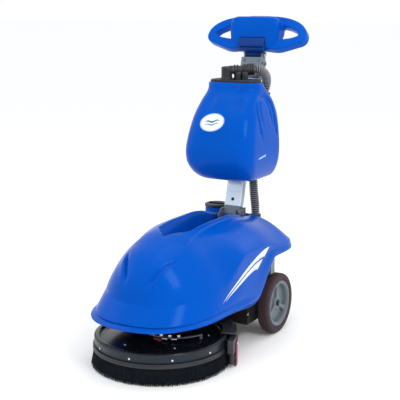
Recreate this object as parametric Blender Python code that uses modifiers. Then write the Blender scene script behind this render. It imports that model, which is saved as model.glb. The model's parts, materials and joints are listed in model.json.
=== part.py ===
"""Compact walk-behind floor scrubber drier with a folding mast.

Metres, +Z up. The front of the machine faces -Y and +X is its left-hand side. The floor is Z = 0.
Run with: blender --background --python part.py
"""

import math

import bmesh
import bpy
from mathutils import Matrix, Vector

# Driving dimensions. Places are measured from the middle of the brush deck, on the floor.
DECK_Y = -0.2414  # brush deck middle, so that the whole machine is centred on the origin
DECK_R = 0.1985  # outer radius of the deck housing
SKIRT_R = 0.2130  # radius of the bristle skirt where it meets the floor
DECK_RIM_Z = 0.093  # top of the deck's rim
WHEEL_R = 0.100
WHEEL_WIDTH = 0.040
WHEEL_X = 0.190  # middle of each wheel
AXLE_Y = 0.414
AXLE_R = 0.010
HOOD_HALF_WIDTH = 0.200
HOOD_FRONT_Y = -0.198
HOOD_MIDDLE_Y = 0.200
HOOD_REAR_Y = 0.625
HOOD_CREST_Z = 0.402
HOOD_WALL = 0.004
TROUGH_HALF_WIDTH = 0.054
TROUGH_FLOOR_Z = 0.3095
TROUGH_REAR_Y = 0.5025
TRAY_Z = 0.058  # underside of the chassis tray
TRAY_HALF_WIDTH = 0.160
TRAY_FRONT_Y = 0.272
TRAY_REAR_Y = 0.520
MAST_PIVOT = (0.470, 0.372)  # Y and Z of the folding pin
MAST_LEAN = math.radians(16.6)
MAST_WIDTH = 0.060
MAST_DEPTH = 0.030
MAST_LENGTH = 0.529
HANDLE_UP_MAST = 0.556  # from the folding pin to the handle's pin
HANDLE_LEAN = math.radians(30.0)
HANDLE_SHELL_MIDDLE = (0.0, -0.0153, 0.0085)  # from the handle's pin
HANDLE_HALF_WIDTH = 0.188
HANDLE_HEIGHT = 0.124
HOSE_R = 0.016
SQUEEGEE_R = 0.2240  # middle of the squeegee's frame
SQUEEGEE_START = math.radians(17.0)
GAP = 0.0004  # left between neighbours that touch


# ---------------------------------------------------------------- scene and materials

for old in list(bpy.data.objects):
    bpy.data.objects.remove(old)

PARTS = bpy.data.collections.new("walk_behind_scrubber")
CUTTERS = bpy.data.collections.new("cutters")
for group in (PARTS, CUTTERS):
    bpy.context.scene.collection.children.link(group)
CUTTERS.hide_render = True


def material(name, colour, roughness, metallic=0.0):
    made = bpy.data.materials.new(name)
    made.use_nodes = True
    shader = made.node_tree.nodes["Principled BSDF"]
    shader.inputs["Base Color"].default_value = (*colour, 1.0)
    shader.inputs["Roughness"].default_value = roughness
    shader.inputs["Metallic"].default_value = metallic
    made.diffuse_color = (*colour, 1.0)
    return made


BLUE = (0.010, 0.115, 0.560)
DARK_BLUE = (0.006, 0.070, 0.340)
BLACK = (0.012, 0.014, 0.020)
DARK_GREY = (0.060, 0.070, 0.085)
STEEL = (0.42, 0.45, 0.48)
SILVER = (0.60, 0.66, 0.70)
RED = (0.45, 0.03, 0.03)


# ---------------------------------------------------------------- bodies and objects


def body(name, y=0.0, z=0.0, x=0.0, lean=0.0, parent=None):
    """An empty on a joint's axis. Everything that moves with the joint hangs on it."""
    empty = bpy.data.objects.new(name, None)
    empty.empty_display_size = 0.03
    empty.parent = parent
    empty.location = (x, y, z)
    empty.rotation_euler.x = -lean
    PARTS.objects.link(empty)
    return empty


def add(name, mesh, on, finish, smooth=True, location=(0, 0, 0), rotation=(0, 0, 0)):
    """One named solid of the machine, in the frame of the empty that it hangs on."""
    made = bpy.data.objects.new(name, mesh)
    colour, roughness, metallic = finish
    mesh.materials.append(material(name, colour, roughness, metallic))
    made.parent = on
    made.location = location
    made.rotation_euler = rotation
    PARTS.objects.link(made)
    if smooth:
        mesh.shade_smooth()
        mesh.set_sharp_from_angle(angle=math.radians(35))
    return made


def cutter(target, mesh, operation="DIFFERENCE", location=(0, 0, 0), rotation=(0, 0, 0)):
    """Cuts or joins a mesh that is given in the frame of the target's empty."""
    tool = bpy.data.objects.new(target.name + "_cutter", mesh)
    tool.parent = target.parent
    tool.location = location
    tool.rotation_euler = rotation
    tool.hide_render = True
    tool.display_type = "WIRE"
    CUTTERS.objects.link(tool)
    boolean = target.modifiers.new("Boolean", "BOOLEAN")
    boolean.operation = operation
    boolean.object = tool
    return tool


def bevel(target, width, segments=2):
    rounded = target.modifiers.new("Bevel", "BEVEL")
    rounded.width = width
    rounded.segments = segments
    rounded.limit_method = "ANGLE"
    rounded.angle_limit = math.radians(40)


# ---------------------------------------------------------------- mesh shapes


def to_mesh(shape, name="shape"):
    bmesh.ops.recalc_face_normals(shape, faces=shape.faces)
    if shape.calc_volume(signed=True) < 0:
        bmesh.ops.reverse_faces(shape, faces=shape.faces)
    mesh = bpy.data.meshes.new(name)
    shape.to_mesh(mesh)
    shape.free()
    return mesh


def box(low, high):
    """A box between two opposite corners."""
    shape = bmesh.new()
    bmesh.ops.create_cube(shape, size=1.0)
    size = [b - a for a, b in zip(low, high)]
    middle = [(a + b) / 2 for a, b in zip(low, high)]
    bmesh.ops.scale(shape, vec=size, verts=shape.verts)
    bmesh.ops.translate(shape, vec=middle, verts=shape.verts)
    return to_mesh(shape, "box")


def rod(start, end, radius, sides=20, end_radius=None):
    """A cylinder or cone between two points."""
    start, end = Vector(start), Vector(end)
    shape = bmesh.new()
    bmesh.ops.create_cone(
        shape,
        cap_ends=True,
        segments=sides,
        radius1=radius,
        radius2=radius if end_radius is None else end_radius,
        depth=(end - start).length,
    )
    turn = (end - start).to_track_quat("Z", "Y").to_matrix().to_4x4()
    shape.transform(Matrix.Translation((start + end) / 2) @ turn)
    return to_mesh(shape, "rod")


def loft(rings, closed=False):
    """Skins equal rings of points. Open ends are capped."""
    shape = bmesh.new()
    rows = [[shape.verts.new(point) for point in ring] for ring in rings]
    count = len(rows[0])
    pairs = list(zip(rows, rows[1:]))
    if closed:
        pairs.append((rows[-1], rows[0]))
    for lower, upper in pairs:
        for i in range(count):
            j = (i + 1) % count
            shape.faces.new((lower[i], lower[j], upper[j], upper[i]))
    if not closed:
        shape.faces.new(rows[0])
        shape.faces.new(rows[-1])
    return to_mesh(shape, "loft")


def turned(name, profile, on, finish, steps=32, location=(0, 0, 0), rotation=(0, 0, 0)):
    """A closed profile of (radius, height), run down its outer side, turned about Z."""
    mesh = bpy.data.meshes.new(name)
    count = len(profile)
    points = [(radius, 0.0, height) for radius, height in profile]
    mesh.from_pydata(points, [(i, (i + 1) % count) for i in range(count)], [])
    made = add(name, mesh, on, finish, False, location, rotation)
    screw = made.modifiers.new("Screw", "SCREW")
    screw.steps = steps
    screw.render_steps = steps
    screw.use_merge_vertices = True
    screw.merge_threshold = 0.00005
    screw.use_smooth_shade = True
    return made


def ring_profile(inner, outer, low, high):
    return [(inner, high), (outer, high), (outer, low), (inner, low)]


def arc_band(inner, outer, low, high, start, end, steps=20):
    """A curved bar of rectangular section about Z."""
    rings = []
    for i in range(steps + 1):
        angle = start + (end - start) * i / steps
        across, along = math.cos(angle), math.sin(angle)
        section = ((inner, low), (outer, low), (outer, high), (inner, high))
        rings.append([(r * across, r * along, z) for r, z in section])
    return loft(rings)


def smooth_path(points, pieces=3):
    """Catmull-Rom points through the given ones, with so many pieces to each span."""
    given = [Vector(p) for p in points]
    ends = [2 * given[0] - given[1], *given, 2 * given[-1] - given[-2]]
    path = []
    for a, b, c, d in zip(ends, ends[1:], ends[2:], ends[3:]):
        for i in range(pieces):
            t = i / pieces
            path.append(
                0.5 * (2 * b + (c - a) * t + (2 * a - 5 * b + 4 * c - d) * t**2
                       + (3 * b - a - 3 * c + d) * t**3)
            )
    path.append(given[-1])
    return path


def tube(name, path, radius, on, finish, resolution=3):
    """A round bar along a path, as a curve with filled ends."""
    curve = bpy.data.curves.new(name, "CURVE")
    curve.dimensions = "3D"
    curve.bevel_depth = radius
    curve.bevel_resolution = resolution
    curve.use_fill_caps = True
    spline = curve.splines.new("POLY")
    spline.points.add(len(path) - 1)
    for place, point in zip(spline.points, path):
        place.co = (*point, 1.0)
    made = bpy.data.objects.new(name, curve)
    curve.materials.append(material(name, *finish))
    made.parent = on
    PARTS.objects.link(made)
    return made


def outline_solid(outline, half, centre=(0, 0, 0), plane="XZ"):
    """A flat outline made thick by extruding half its thickness each way."""
    rings = []
    for side in (-half, half):
        if plane == "XZ":
            rings.append([(centre[0] + u, centre[1] + side, centre[2] + v) for u, v in outline])
        elif plane == "YZ":
            rings.append([(centre[0] + side, centre[1] + u, centre[2] + v) for u, v in outline])
        else:
            rings.append([(centre[0] + u, centre[1] + v, centre[2] + side) for u, v in outline])
    return loft(rings)


def rounded_rectangle(half_width, front, rear, radius, z, steps=5):
    """A level ring with round corners, between two Y values."""
    ring = []
    corners = (
        (half_width - radius, rear - radius, 0),
        (radius - half_width, rear - radius, 1),
        (radius - half_width, front + radius, 2),
        (half_width - radius, front + radius, 3),
    )
    for x, y, quarter in corners:
        for i in range(steps + 1):
            angle = (quarter + i / steps) * math.pi / 2
            ring.append((x + radius * math.cos(angle), y + radius * math.sin(angle), z))
    return ring


def blend(x, table):
    """A smooth value at x through (x, value) pairs."""
    if x <= table[0][0]:
        return table[0][1]
    for (x0, v0), (x1, v1) in zip(table, table[1:]):
        if x <= x1:
            t = (x - x0) / (x1 - x0)
            return v0 + (v1 - v0) * t * t * (3 - 2 * t)
    return table[-1][1]


# ---------------------------------------------------------------- hood


def hood_outline(front_steps=9, side_steps=7, rear_steps=6):
    """Half of the hood's plan outline, from the nose round the left side to the tail."""
    front_middle, rear_middle = 0.070, 0.480
    half = []
    for i in range(front_steps):
        angle = math.pi / 2 * i / front_steps
        half.append(
            (
                HOOD_HALF_WIDTH * math.sin(angle) ** 0.83,
                front_middle - (front_middle - HOOD_FRONT_Y) * math.cos(angle) ** 0.83,
            )
        )
    for i in range(side_steps):
        half.append(
            (HOOD_HALF_WIDTH, front_middle + (rear_middle - front_middle) * i / side_steps)
        )
    for i in range(rear_steps + 1):
        angle = math.pi / 2 * i / rear_steps
        half.append(
            (
                HOOD_HALF_WIDTH * max(math.cos(angle), 0.0) ** 0.80,
                rear_middle + (HOOD_REAR_Y - rear_middle) * math.sin(angle) ** 0.80,
            )
        )
    return half


def hood_inner(half):
    """The outline drawn in to the crease where the hood's top meets its leaning sides."""
    drawn = []
    for x, y in half:
        inset = blend(y, ((-0.10, 0.0265), (0.15, 0.0045)))
        keep = 1 - inset / math.hypot(x, (y - HOOD_MIDDLE_Y) / 2)
        drawn.append((x * keep, HOOD_MIDDLE_Y + (y - HOOD_MIDDLE_Y) * keep))
    return drawn


def hood_shoulder(y):
    """Height of the crease between the hood's top and its sides."""
    return blend(
        y, ((HOOD_FRONT_Y, 0.222), (0.05, 0.250), (0.20, 0.320), (0.30, 0.320), (0.52, 0.288))
    )


def hood_crest(y, front):
    """Height of the hood along its middle, without the trough."""
    if y < HOOD_MIDDLE_Y:
        run = min((HOOD_MIDDLE_Y - y) / (HOOD_MIDDLE_Y - front), 1.0)
        return 0.222 + (HOOD_CREST_Z - 0.222) * (1 - run**2.73) ** 0.48
    return blend(y, ((0.30, HOOD_CREST_Z), (0.50, 0.372), (HOOD_REAR_Y, 0.290)))


def hood_edge(y):
    """Height of the hood's lower edge, which rises over the wheel."""
    return blend(y, ((0.05, 0.155), (0.25, 0.140), (0.262, 0.142), (0.40, 0.262), (0.50, 0.262)))


def hood_width(y, half):
    for (x0, y0), (x1, y1) in zip(half, half[1:]):
        if y0 <= y <= y1:
            return x0 + (x1 - x0) * (y - y0) / max(y1 - y0, 1e-6)
    return 0.0


def hood_top(x, y, inner):
    """Height of the hood's top, inside the inner outline."""
    low = hood_shoulder(y)
    across = min(abs(x) / max(hood_width(y, inner), 0.001), 1.0)
    return low + (hood_crest(y, inner[0][1]) - low) * (1 - across**2.6)


def hood_surface():
    """The hood's open outer skin: rings spread from the middle to the crease, then down the sides."""
    half = hood_outline()
    inner = hood_inner(half)
    outline = half + [(-x, y) for x, y in reversed(half[1:-1])]
    crease = inner + [(-x, y) for x, y in reversed(inner[1:-1])]
    shape = bmesh.new()
    rows = []
    for spread in (0.18, 0.36, 0.54, 0.70, 0.82, 0.91, 0.97, 1.0):
        row = []
        for x, y in crease:
            at = (x * spread, HOOD_MIDDLE_Y + (y - HOOD_MIDDLE_Y) * spread)
            row.append(shape.verts.new((*at, hood_top(*at, inner) if spread < 1 else hood_shoulder(y))))
        rows.append(row)
    for share, bead in ((0.25, 0.0), (0.55, 0.0), (0.74, 0.001), (0.88, 0.007), (1, 0.003)):
        row = []
        for (x, y), (inner_x, inner_y) in zip(outline, crease):
            push = bead if y < 0.25 else 0.0
            grow = 1 + push / math.hypot(x, (y - HOOD_MIDDLE_Y) / 2)
            lean = min(share / 0.8, 1.0)
            at_x = (inner_x + (x - inner_x) * lean) * grow
            at_y = HOOD_MIDDLE_Y + (inner_y + (y - inner_y) * lean - HOOD_MIDDLE_Y) * grow
            high, low = hood_shoulder(y), hood_edge(y)
            row.append(shape.verts.new((at_x, at_y, high + (low - high) * share)))
        rows.append(row)
    count = len(outline)
    for upper, lower in zip(rows, rows[1:]):
        for i in range(count):
            j = (i + 1) % count
            shape.faces.new((upper[i], upper[j], lower[j], lower[i]))
    crown = shape.verts.new((0, HOOD_MIDDLE_Y, HOOD_CREST_Z))
    for i in range(count):
        shape.faces.new((crown, rows[0][(i + 1) % count], rows[0][i]))
    return to_mesh(shape, "hood_skin")


def trough_outline(grow=0.0, steps=8):
    """Plan of the recess that the mast folds into: a round nose and straight sides."""
    half = TROUGH_HALF_WIDTH + grow
    nose_y = 0.10
    sides = (TROUGH_REAR_Y + grow, 0.43, 0.35, 0.27, 0.19)
    nose = [
        (-half * math.cos(math.pi * i / steps), nose_y - (0.1 + grow) * math.sin(math.pi * i / steps))
        for i in range(steps + 1)
    ]
    return [(-half, y) for y in sides] + nose + [(half, y) for y in reversed(sides)]


def trough_cup():
    """The walls and floor of the trough. Their top lies inside the hood's wall."""
    inner = hood_inner(hood_outline())
    outside, inside = trough_outline(HOOD_WALL), trough_outline()

    def rim(x, y):
        return hood_top(x, y, inner) - 0.6 * HOOD_WALL

    return loft([
        [(x, y, TROUGH_FLOOR_Z - HOOD_WALL) for x, y in outside],
        [(x, y, rim(x, y)) for x, y in outside],
        [(x, y, rim(x, y)) for x, y in inside],
        [(x, y, TROUGH_FLOOR_Z) for x, y in inside],
    ])


def build_hood(machine):
    hood = add("tank_hood", hood_surface(), machine, (BLUE, 0.25, 0.0))
    wall = hood.modifiers.new("Solidify", "SOLIDIFY")
    wall.thickness = HOOD_WALL
    wall.offset = -1.0
    wall.use_even_offset = True
    mouth = trough_outline(HOOD_WALL / 2)
    low, high = 0.330, 0.450
    cutter(hood, loft([[(x, y, low) for x, y in mouth], [(x, y, high) for x, y in mouth]]))
    cutter(hood, trough_cup(), "UNION")
    cutter(hood, rod((-0.095, 0.530, 0.30), (-0.095, 0.530, 0.40), 0.0325, 24))
    cutter(hood, rod((0.057, 0.530, 0.28), (0.057, 0.530, 0.40), 0.0192, 20))
    return hood


# ---------------------------------------------------------------- chassis and fixed works


def build_chassis(machine):
    black = (BLACK, 0.5, 0.0)
    steel = (STEEL, 0.35, 0.9)
    wall = 0.003
    tray = add(
        "chassis_tray",
        box((-TRAY_HALF_WIDTH, TRAY_FRONT_Y, TRAY_Z), (TRAY_HALF_WIDTH, TRAY_REAR_Y, 0.150)),
        machine,
        black,
        False,
    )
    cutter(
        tray,
        box(
            (wall - TRAY_HALF_WIDTH, TRAY_FRONT_Y + wall, TRAY_Z + wall),
            (TRAY_HALF_WIDTH - wall, TRAY_REAR_Y - wall, 0.20),
        ),
    )
    cutter(tray, rod((-0.2, AXLE_Y, WHEEL_R), (0.2, AXLE_Y, WHEEL_R), AXLE_R + GAP, 16))
    add("axle", rod((-0.1985, AXLE_Y, WHEEL_R), (0.1985, AXLE_Y, WHEEL_R), AXLE_R, 16), machine, steel)
    for side, word in ((1, "left"), (-1, "right")):
        low, high = 0.1605, 0.1635
        strip = [(low, 0.115), (high, 0.115), (high, 0.2085), (0.1945, 0.2085), (0.1945, 0.2580),
                 (0.1915, 0.2580), (0.1915, 0.2115), (low, 0.2115)]
        bracket = outline_solid([(side * x, z) for x, z in strip], 0.014, (0, 0.384, 0))
        add(f"hood_bracket_{word}", bracket, machine, (DARK_GREY, 0.45, 0.6), False)
    add(
        "mast_support",
        box((-0.035, 0.434, TRAY_Z + wall + GAP), (0.035, 0.500, TROUGH_FLOOR_Z - HOOD_WALL - GAP)),
        machine,
        (DARK_GREY, 0.5, 0.5),
        False,
    )
    guide = add(
        "deck_guide_bracket",
        outline_solid(
            [(-0.080, TRAY_FRONT_Y - GAP), (0.080, TRAY_FRONT_Y - GAP), (0.080, 0.0), (0.055, -0.068),
             (0.0, -0.085), (-0.055, -0.068), (-0.080, 0.0)],
            0.0025, (0, 0, 0.2000), "XY",
        ),
        machine, black, False,
    )
    cutter(guide, rod((0, 0, 0.1), (0, 0, 0.30), 0.0520, 28))
    flange = box((-0.080, TRAY_FRONT_Y - 0.0034, 0.100), (0.080, TRAY_FRONT_Y - GAP, 0.2015))
    cutter(guide, flange, "UNION")


def build_power(machine):
    """What lies in the chassis tray and under the hood."""
    for side, word in ((1, "left"), (-1, "right")):
        low, high = sorted((side * 0.004, side * 0.152))
        case = add(
            f"battery_{word}",
            box((low, 0.279, TRAY_Z + 0.0035), (high, 0.398, 0.215)),
            machine, (DARK_GREY, 0.5, 0.0), False,
        )
        bevel(case, 0.004)
    turned(
        "vacuum_motor",
        [(0.0, 0.262), (0.020, 0.262), (0.020, 0.255), (0.050, 0.250), (0.050, 0.190), (0.056, 0.186),
         (0.056, 0.165), (0.020, 0.165), (0.020, TRAY_Z + 0.0034), (0.0, TRAY_Z + 0.0034)],
        machine, (STEEL, 0.4, 0.8), 24, (0.098, 0.475, 0),
    )
    control = add(
        "control_box", box((-0.150, 0.430, TRAY_Z + 0.0034), (-0.045, 0.505, 0.255)), machine,
        (BLACK, 0.6, 0.0), False,
    )
    bevel(control, 0.005)


def build_solution_tank(machine):
    """The inner skin that closes the hood as the solution tank, and its filler neck."""
    levels = (
        (0.165, 0.165, -0.120, 0.540, 0.120),
        (0.232, 0.160, -0.095, 0.538, 0.110),
        (0.290, 0.145, -0.050, 0.525, 0.090),
        (0.302, 0.125, -0.030, 0.505, 0.070),
    )
    wall = 0.004
    outside = [rounded_rectangle(w, front, rear, r, z, 4) for z, w, front, rear, r in levels]
    inside = [
        rounded_rectangle(w - wall, front + wall, rear - wall, r - wall / 2, z - (0, 0, 2, 4)[i] / 1000, 4)
        for i, (z, w, front, rear, r) in enumerate(((0.160, *levels[0][1:]), *levels[1:]))
    ]
    liner = add("tank_liner", loft(outside), machine, (DARK_BLUE, 0.4, 0.0))
    cutter(liner, loft(inside))
    cutter(liner, box((-0.25, 0.262, 0.10), (0.25, 0.60, 0.270)))
    cutter(liner, box((-0.0356, 0.4334, 0.25), (0.0356, 0.5006, 0.35)))
    cutter(liner, rod((0.057, 0.530, 0.25), (0.057, 0.530, 0.33), 0.0175, 20))
    turned(
        "filler_neck",
        ring_profile(0.0285, 0.0320, 0.305, 0.3715),
        machine, (BLUE, 0.3, 0.0), 28, (-0.095, 0.530, 0),
    )


def build_filler_cap():
    cap = body("filler_cap_axis", DECK_Y + 0.530, 0.0, -0.095)
    lid = turned(
        "filler_cap",
        [(0.0, 0.389), (0.038, 0.389), (0.0425, 0.385), (0.0425, 0.3665), (0.0325, 0.3665),
         (0.0325, 0.3720), (0.0, 0.3720)],
        cap, (BLACK, 0.35, 0.0), 28,
    )
    cutter(lid, box((-0.030, -0.004, 0.385), (0.030, 0.004, 0.398)), "UNION")


# ---------------------------------------------------------------- wheels


def build_wheel(side, word):
    hub = body(f"wheel_{word}_axis", DECK_Y + AXLE_Y, WHEEL_R, side * WHEEL_X)
    lay = (0, side * math.pi / 2, 0)
    half = WHEEL_WIDTH / 2
    turned(
        f"tyre_{word}",
        [(0.0765, half - 0.002), (0.094, half), (0.0985, half - 0.004), (WHEEL_R, half - 0.011),
         (WHEEL_R, 0.011 - half), (0.0985, 0.004 - half), (0.094, -half), (0.0765, 0.002 - half)],
        hub, (DARK_GREY, 0.7, 0.0), 32, (0, 0, 0), lay,
    )
    rim = turned(
        f"wheel_rim_{word}",
        [(0.064, 0.014), (0.072, 0.017), (0.0760, 0.017), (0.0760, -0.017), (0.070, -0.017),
         (0.064, -0.010)],
        hub, (STEEL, 0.35, 0.8), 32, (0, 0, 0), lay,
    )
    cutter(rim, rod((side * -0.017, 0, 0), (side * 0.010, 0, 0), 0.024, 24), "UNION")
    for i in range(3):
        angle = -math.pi / 2 + i * 2 * math.pi / 3
        spoke = box((-0.004, -0.011, 0.010), (0.004, 0.011, 0.067))
        cutter(rim, spoke, "UNION", (0, 0, 0), (angle - math.pi / 2, 0, 0))
    cutter(rim, rod((-0.03, 0, 0), (0.03, 0, 0), AXLE_R + GAP, 16))
    cutter(rim, rod((side * 0.0090, 0, 0), (side * 0.0160, 0, 0), 0.0160, 6), "UNION")


# ---------------------------------------------------------------- brush deck


def build_deck():
    deck = body("deck_axis", DECK_Y)
    turned(
        "deck_housing",
        [(0.040, 0.105), (0.085, 0.102), (0.150, 0.090), (0.180, 0.083), (0.186, DECK_RIM_Z),
         (DECK_R, DECK_RIM_Z), (DECK_R, 0.050), (0.195, 0.050), (0.195, 0.089), (0.190, 0.089),
         (0.183, 0.079), (0.150, 0.086), (0.085, 0.098), (0.040, 0.101)],
        deck, (BLACK, 0.15, 0.0), 36,
    )
    turned("clamp_band", ring_profile(DECK_R + GAP, 0.2020, 0.0640, 0.0905), deck,
           (DARK_GREY, 0.4, 0.3), 36)
    turned("skirt_holder", ring_profile(DECK_R + GAP, 0.2065, 0.0505, 0.0636), deck,
           (DARK_GREY, 0.5, 0.0), 36)
    turned(
        "bristle_skirt",
        [(0.1960, 0.0496), (0.2062, 0.0496), (SKIRT_R, 0.0), (0.2040, 0.0)],
        deck, (BLACK, 0.9, 0.0), 36,
    )
    turned(
        "brush_gearbox",
        [(0.0, 0.124), (0.048, 0.124), (0.050, 0.122), (0.050, 0.1065), (0.0, 0.1065)],
        deck, (STEEL, 0.45, 0.7), 32,
    )
    turned(
        "brush_motor",
        [(0.0, 0.246), (0.038, 0.246), (0.046, 0.236), (0.046, 0.1244), (0.0, 0.1244)],
        deck, (DARK_GREY, 0.4, 0.5), 32,
    )
    rail = arc_band(0.104, 0.112, 0.1070, 0.1100, math.radians(196), math.radians(344), 18)
    made = add("swing_guide_bar", rail, deck, (STEEL, 0.3, 0.9), False, (0.040, 0.030, 0))
    for foot in (-0.062, 0.142):
        cutter(made, rod((foot, 0.000, 0.094 if foot > 0.1 else 0.1052), (foot, 0.000, 0.1085), 0.005, 10),
               "UNION")
    return deck


def build_brush():
    brush = body("brush_axis", DECK_Y)
    turned(
        "brush_plate",
        [(0.024, 0.056), (0.180, 0.056), (0.184, 0.052), (0.184, 0.046), (0.024, 0.046)],
        brush, (DARK_BLUE, 0.5, 0.0), 40,
    )
    turned("brush_bristles", ring_profile(0.080, 0.183, 0.0, 0.0456), brush, (BLACK, 0.9, 0.0), 40)
    turned(
        "brush_hub",
        [(0.0, 0.1061), (0.016, 0.1061), (0.016, 0.066), (0.040, 0.062), (0.040, 0.0564), (0.0236, 0.0564),
         (0.0236, 0.044), (0.0, 0.044)],
        brush, (STEEL, 0.4, 0.8), 24,
    )


def build_squeegee():
    """A curved squeegee round the back of the deck, on a carrier that swings about the brush."""
    swing = body("squeegee_swing_axis", DECK_Y)
    start, end = SQUEEGEE_START, math.pi - SQUEEGEE_START
    carrier = add(
        "squeegee_carrier",
        arc_band(0.1900, SQUEEGEE_R + 0.0100, 0.1005, 0.1045, start, end, 24),
        swing, (STEEL, 0.4, 0.6), False,
    )
    pin_angles = [math.radians(a) for a in (37, 91, 143)]
    for angle in pin_angles:
        x, y = math.cos(angle), math.sin(angle)
        hole = (SQUEEGEE_R * x, SQUEEGEE_R * y)
        cutter(carrier, rod((*hole, 0.090), (*hole, 0.115), 0.0042, 12))
        foot = (0.1948 * x, 0.1948 * y)
        cutter(carrier, rod((*foot, DECK_RIM_Z + GAP), (*foot, 0.1030), 0.0030, 10), "UNION")
    blades = body("squeegee_axis", DECK_Y)
    frame = add(
        "squeegee_frame",
        arc_band(SQUEEGEE_R - 0.0090, SQUEEGEE_R + 0.0090, 0.046, 0.088, start, end, 24),
        blades, (STEEL, 0.4, 0.6), False,
    )
    for angle in pin_angles:
        pin = (SQUEEGEE_R * math.cos(angle), SQUEEGEE_R * math.sin(angle))
        cutter(frame, rod((*pin, 0.080), (*pin, 0.1120), 0.0036, 12), "UNION")
    front_blade = arc_band(
        SQUEEGEE_R - 0.0124, SQUEEGEE_R - 0.0094, 0.0476, 0.070, start, end, 24
    )
    rear_blade = arc_band(SQUEEGEE_R + 0.0094, SQUEEGEE_R + 0.0126, 0.0, 0.074, start, end, 24)
    add("squeegee_front_blade", front_blade, blades, (BLACK, 0.7, 0.0), False)
    add("squeegee_rear_blade", rear_blade, blades, (RED, 0.6, 0.0), False)
    for side, word in ((1, "left"), (-1, "right")):
        angle = SQUEEGEE_START - math.radians(3.4)
        x, y = side * SQUEEGEE_R * math.cos(angle), SQUEEGEE_R * math.sin(angle)
        low, high = math.radians(10.6), SQUEEGEE_START + math.radians(0.5)
        if side < 0:
            low, high = math.pi - high, math.pi - low
        cutter(frame, arc_band(SQUEEGEE_R - 0.0090, SQUEEGEE_R + 0.0090, 0.046, 0.088, low, high, 3), "UNION")
        spin = body(f"squeegee_roller_{word}_axis", DECK_Y + y, 0.0, x)
        add(f"squeegee_roller_{word}", rod((0, 0, 0.012), (0, 0, 0.044), 0.0088, 16), spin,
            (BLACK, 0.6, 0.0))


# ---------------------------------------------------------------- mast


def build_mast(machine):
    grey = (STEEL, 0.4, 0.7)
    pin_y, pin_z = MAST_PIVOT
    inside = MAST_WIDTH / 2 + GAP
    foot = add(
        "mast_foot",
        box((-inside - 0.004, 0.424, TROUGH_FLOOR_Z + GAP), (inside + 0.004, 0.500, 0.392)),
        machine, (DARK_GREY, 0.45, 0.6), False,
    )
    cutter(foot, box((-inside, 0.40, TROUGH_FLOOR_Z + 0.007), (inside, 0.52, 0.42)))
    sloped = outline_solid([(0.40, 0.345), (0.452, 0.40), (0.452, 0.45), (0.38, 0.45)], 0.06, (0, 0, 0), "YZ")
    cutter(foot, sloped)
    cutter(foot, rod((-0.06, pin_y, pin_z), (0.06, pin_y, pin_z), 0.0060, 16))
    add("mast_pin", rod((-0.0385, pin_y, pin_z), (0.0385, pin_y, pin_z), 0.0055, 16), machine,
        (STEEL, 0.25, 1.0))

    mast = body("mast_axis", DECK_Y + pin_y, pin_z, 0.0, MAST_LEAN)
    half_width, half_depth, wall = MAST_WIDTH / 2, MAST_DEPTH / 2, 0.0025
    post = add(
        "mast_tube",
        box((-half_width, -half_depth, 0.026), (half_width, half_depth, MAST_LENGTH)),
        mast, (SILVER, 0.35, 0.5), False,
    )
    cutter(
        post,
        box((wall - half_width, wall - half_depth, 0.0), (half_width - wall, half_depth - wall, 0.6)),
    )
    knuckle = add(
        "mast_knuckle",
        rod((0.0005 - half_width, 0, 0), (half_width - 0.0005, 0, 0), half_depth - 0.0005, 20),
        mast, (DARK_GREY, 0.45, 0.6), False,
    )
    cutter(knuckle, box((-0.0290, -0.0140, 0.0), (0.0290, 0.0140, 0.0255)), "UNION")
    cutter(knuckle, box((-0.0270, -0.0120, 0.010), (0.0270, 0.0120, 0.060)), "UNION")
    cutter(knuckle, rod((-0.05, 0, 0), (0.05, 0, 0), 0.0060, 16))

    sleeve = add(
        "mast_head",
        box((-half_width - 0.0045, -half_depth - 0.0045, 0.471), (half_width + 0.0045, 0.0195, 0.530)),
        mast, grey, False,
    )
    bevel(sleeve, 0.003)
    gap = 0.0004
    for side in (1, -1):
        low, high = sorted((side * (half_width + gap), side * (half_width + 0.0045)))
        cutter(sleeve, box((low, -0.0150, 0.515), (high, 0.0150, HANDLE_UP_MAST)), "UNION")
        cutter(sleeve, rod((low, 0, HANDLE_UP_MAST), (high, 0, HANDLE_UP_MAST), 0.0150, 20), "UNION")
    bore_x, bore_y = half_width + gap, half_depth + gap
    cutter(sleeve, box((-bore_x, -bore_y, 0.47), (bore_x, bore_y, 0.7)))
    cutter(sleeve, rod((-0.06, 0, HANDLE_UP_MAST), (0.06, 0, HANDLE_UP_MAST), 0.0056, 16))
    add("handle_pin", rod((-0.0385, 0, HANDLE_UP_MAST), (0.0385, 0, HANDLE_UP_MAST), 0.0050, 16), mast,
        (STEEL, 0.25, 1.0))
    support = add(
        "tank_support",
        box((-0.026, -0.075, 0.104), (0.026, -half_depth - GAP, 0.108)),
        mast, grey, False,
    )
    cutter(support, box((-0.026, -0.0190, 0.070), (0.026, -half_depth - GAP, 0.106)), "UNION")
    return mast


def build_lock_lever():
    lever_y, lever_z = 0.452, 0.345
    axis = body("lock_lever_axis", DECK_Y + lever_y, lever_z, 0.0400)
    lever = add("lock_lever", rod((-0.0010, 0, 0), (0.0040, 0, 0), 0.009, 20), axis, (BLACK, 0.4, 0.0))
    arm = outline_solid([(-0.006, 0.0), (0.006, 0.0), (-0.028, 0.052), (-0.038, 0.050)], 0.0021,
                        (0.0016, 0, 0), "YZ")
    cutter(lever, arm, "UNION")


# ---------------------------------------------------------------- recovery tank

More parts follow.
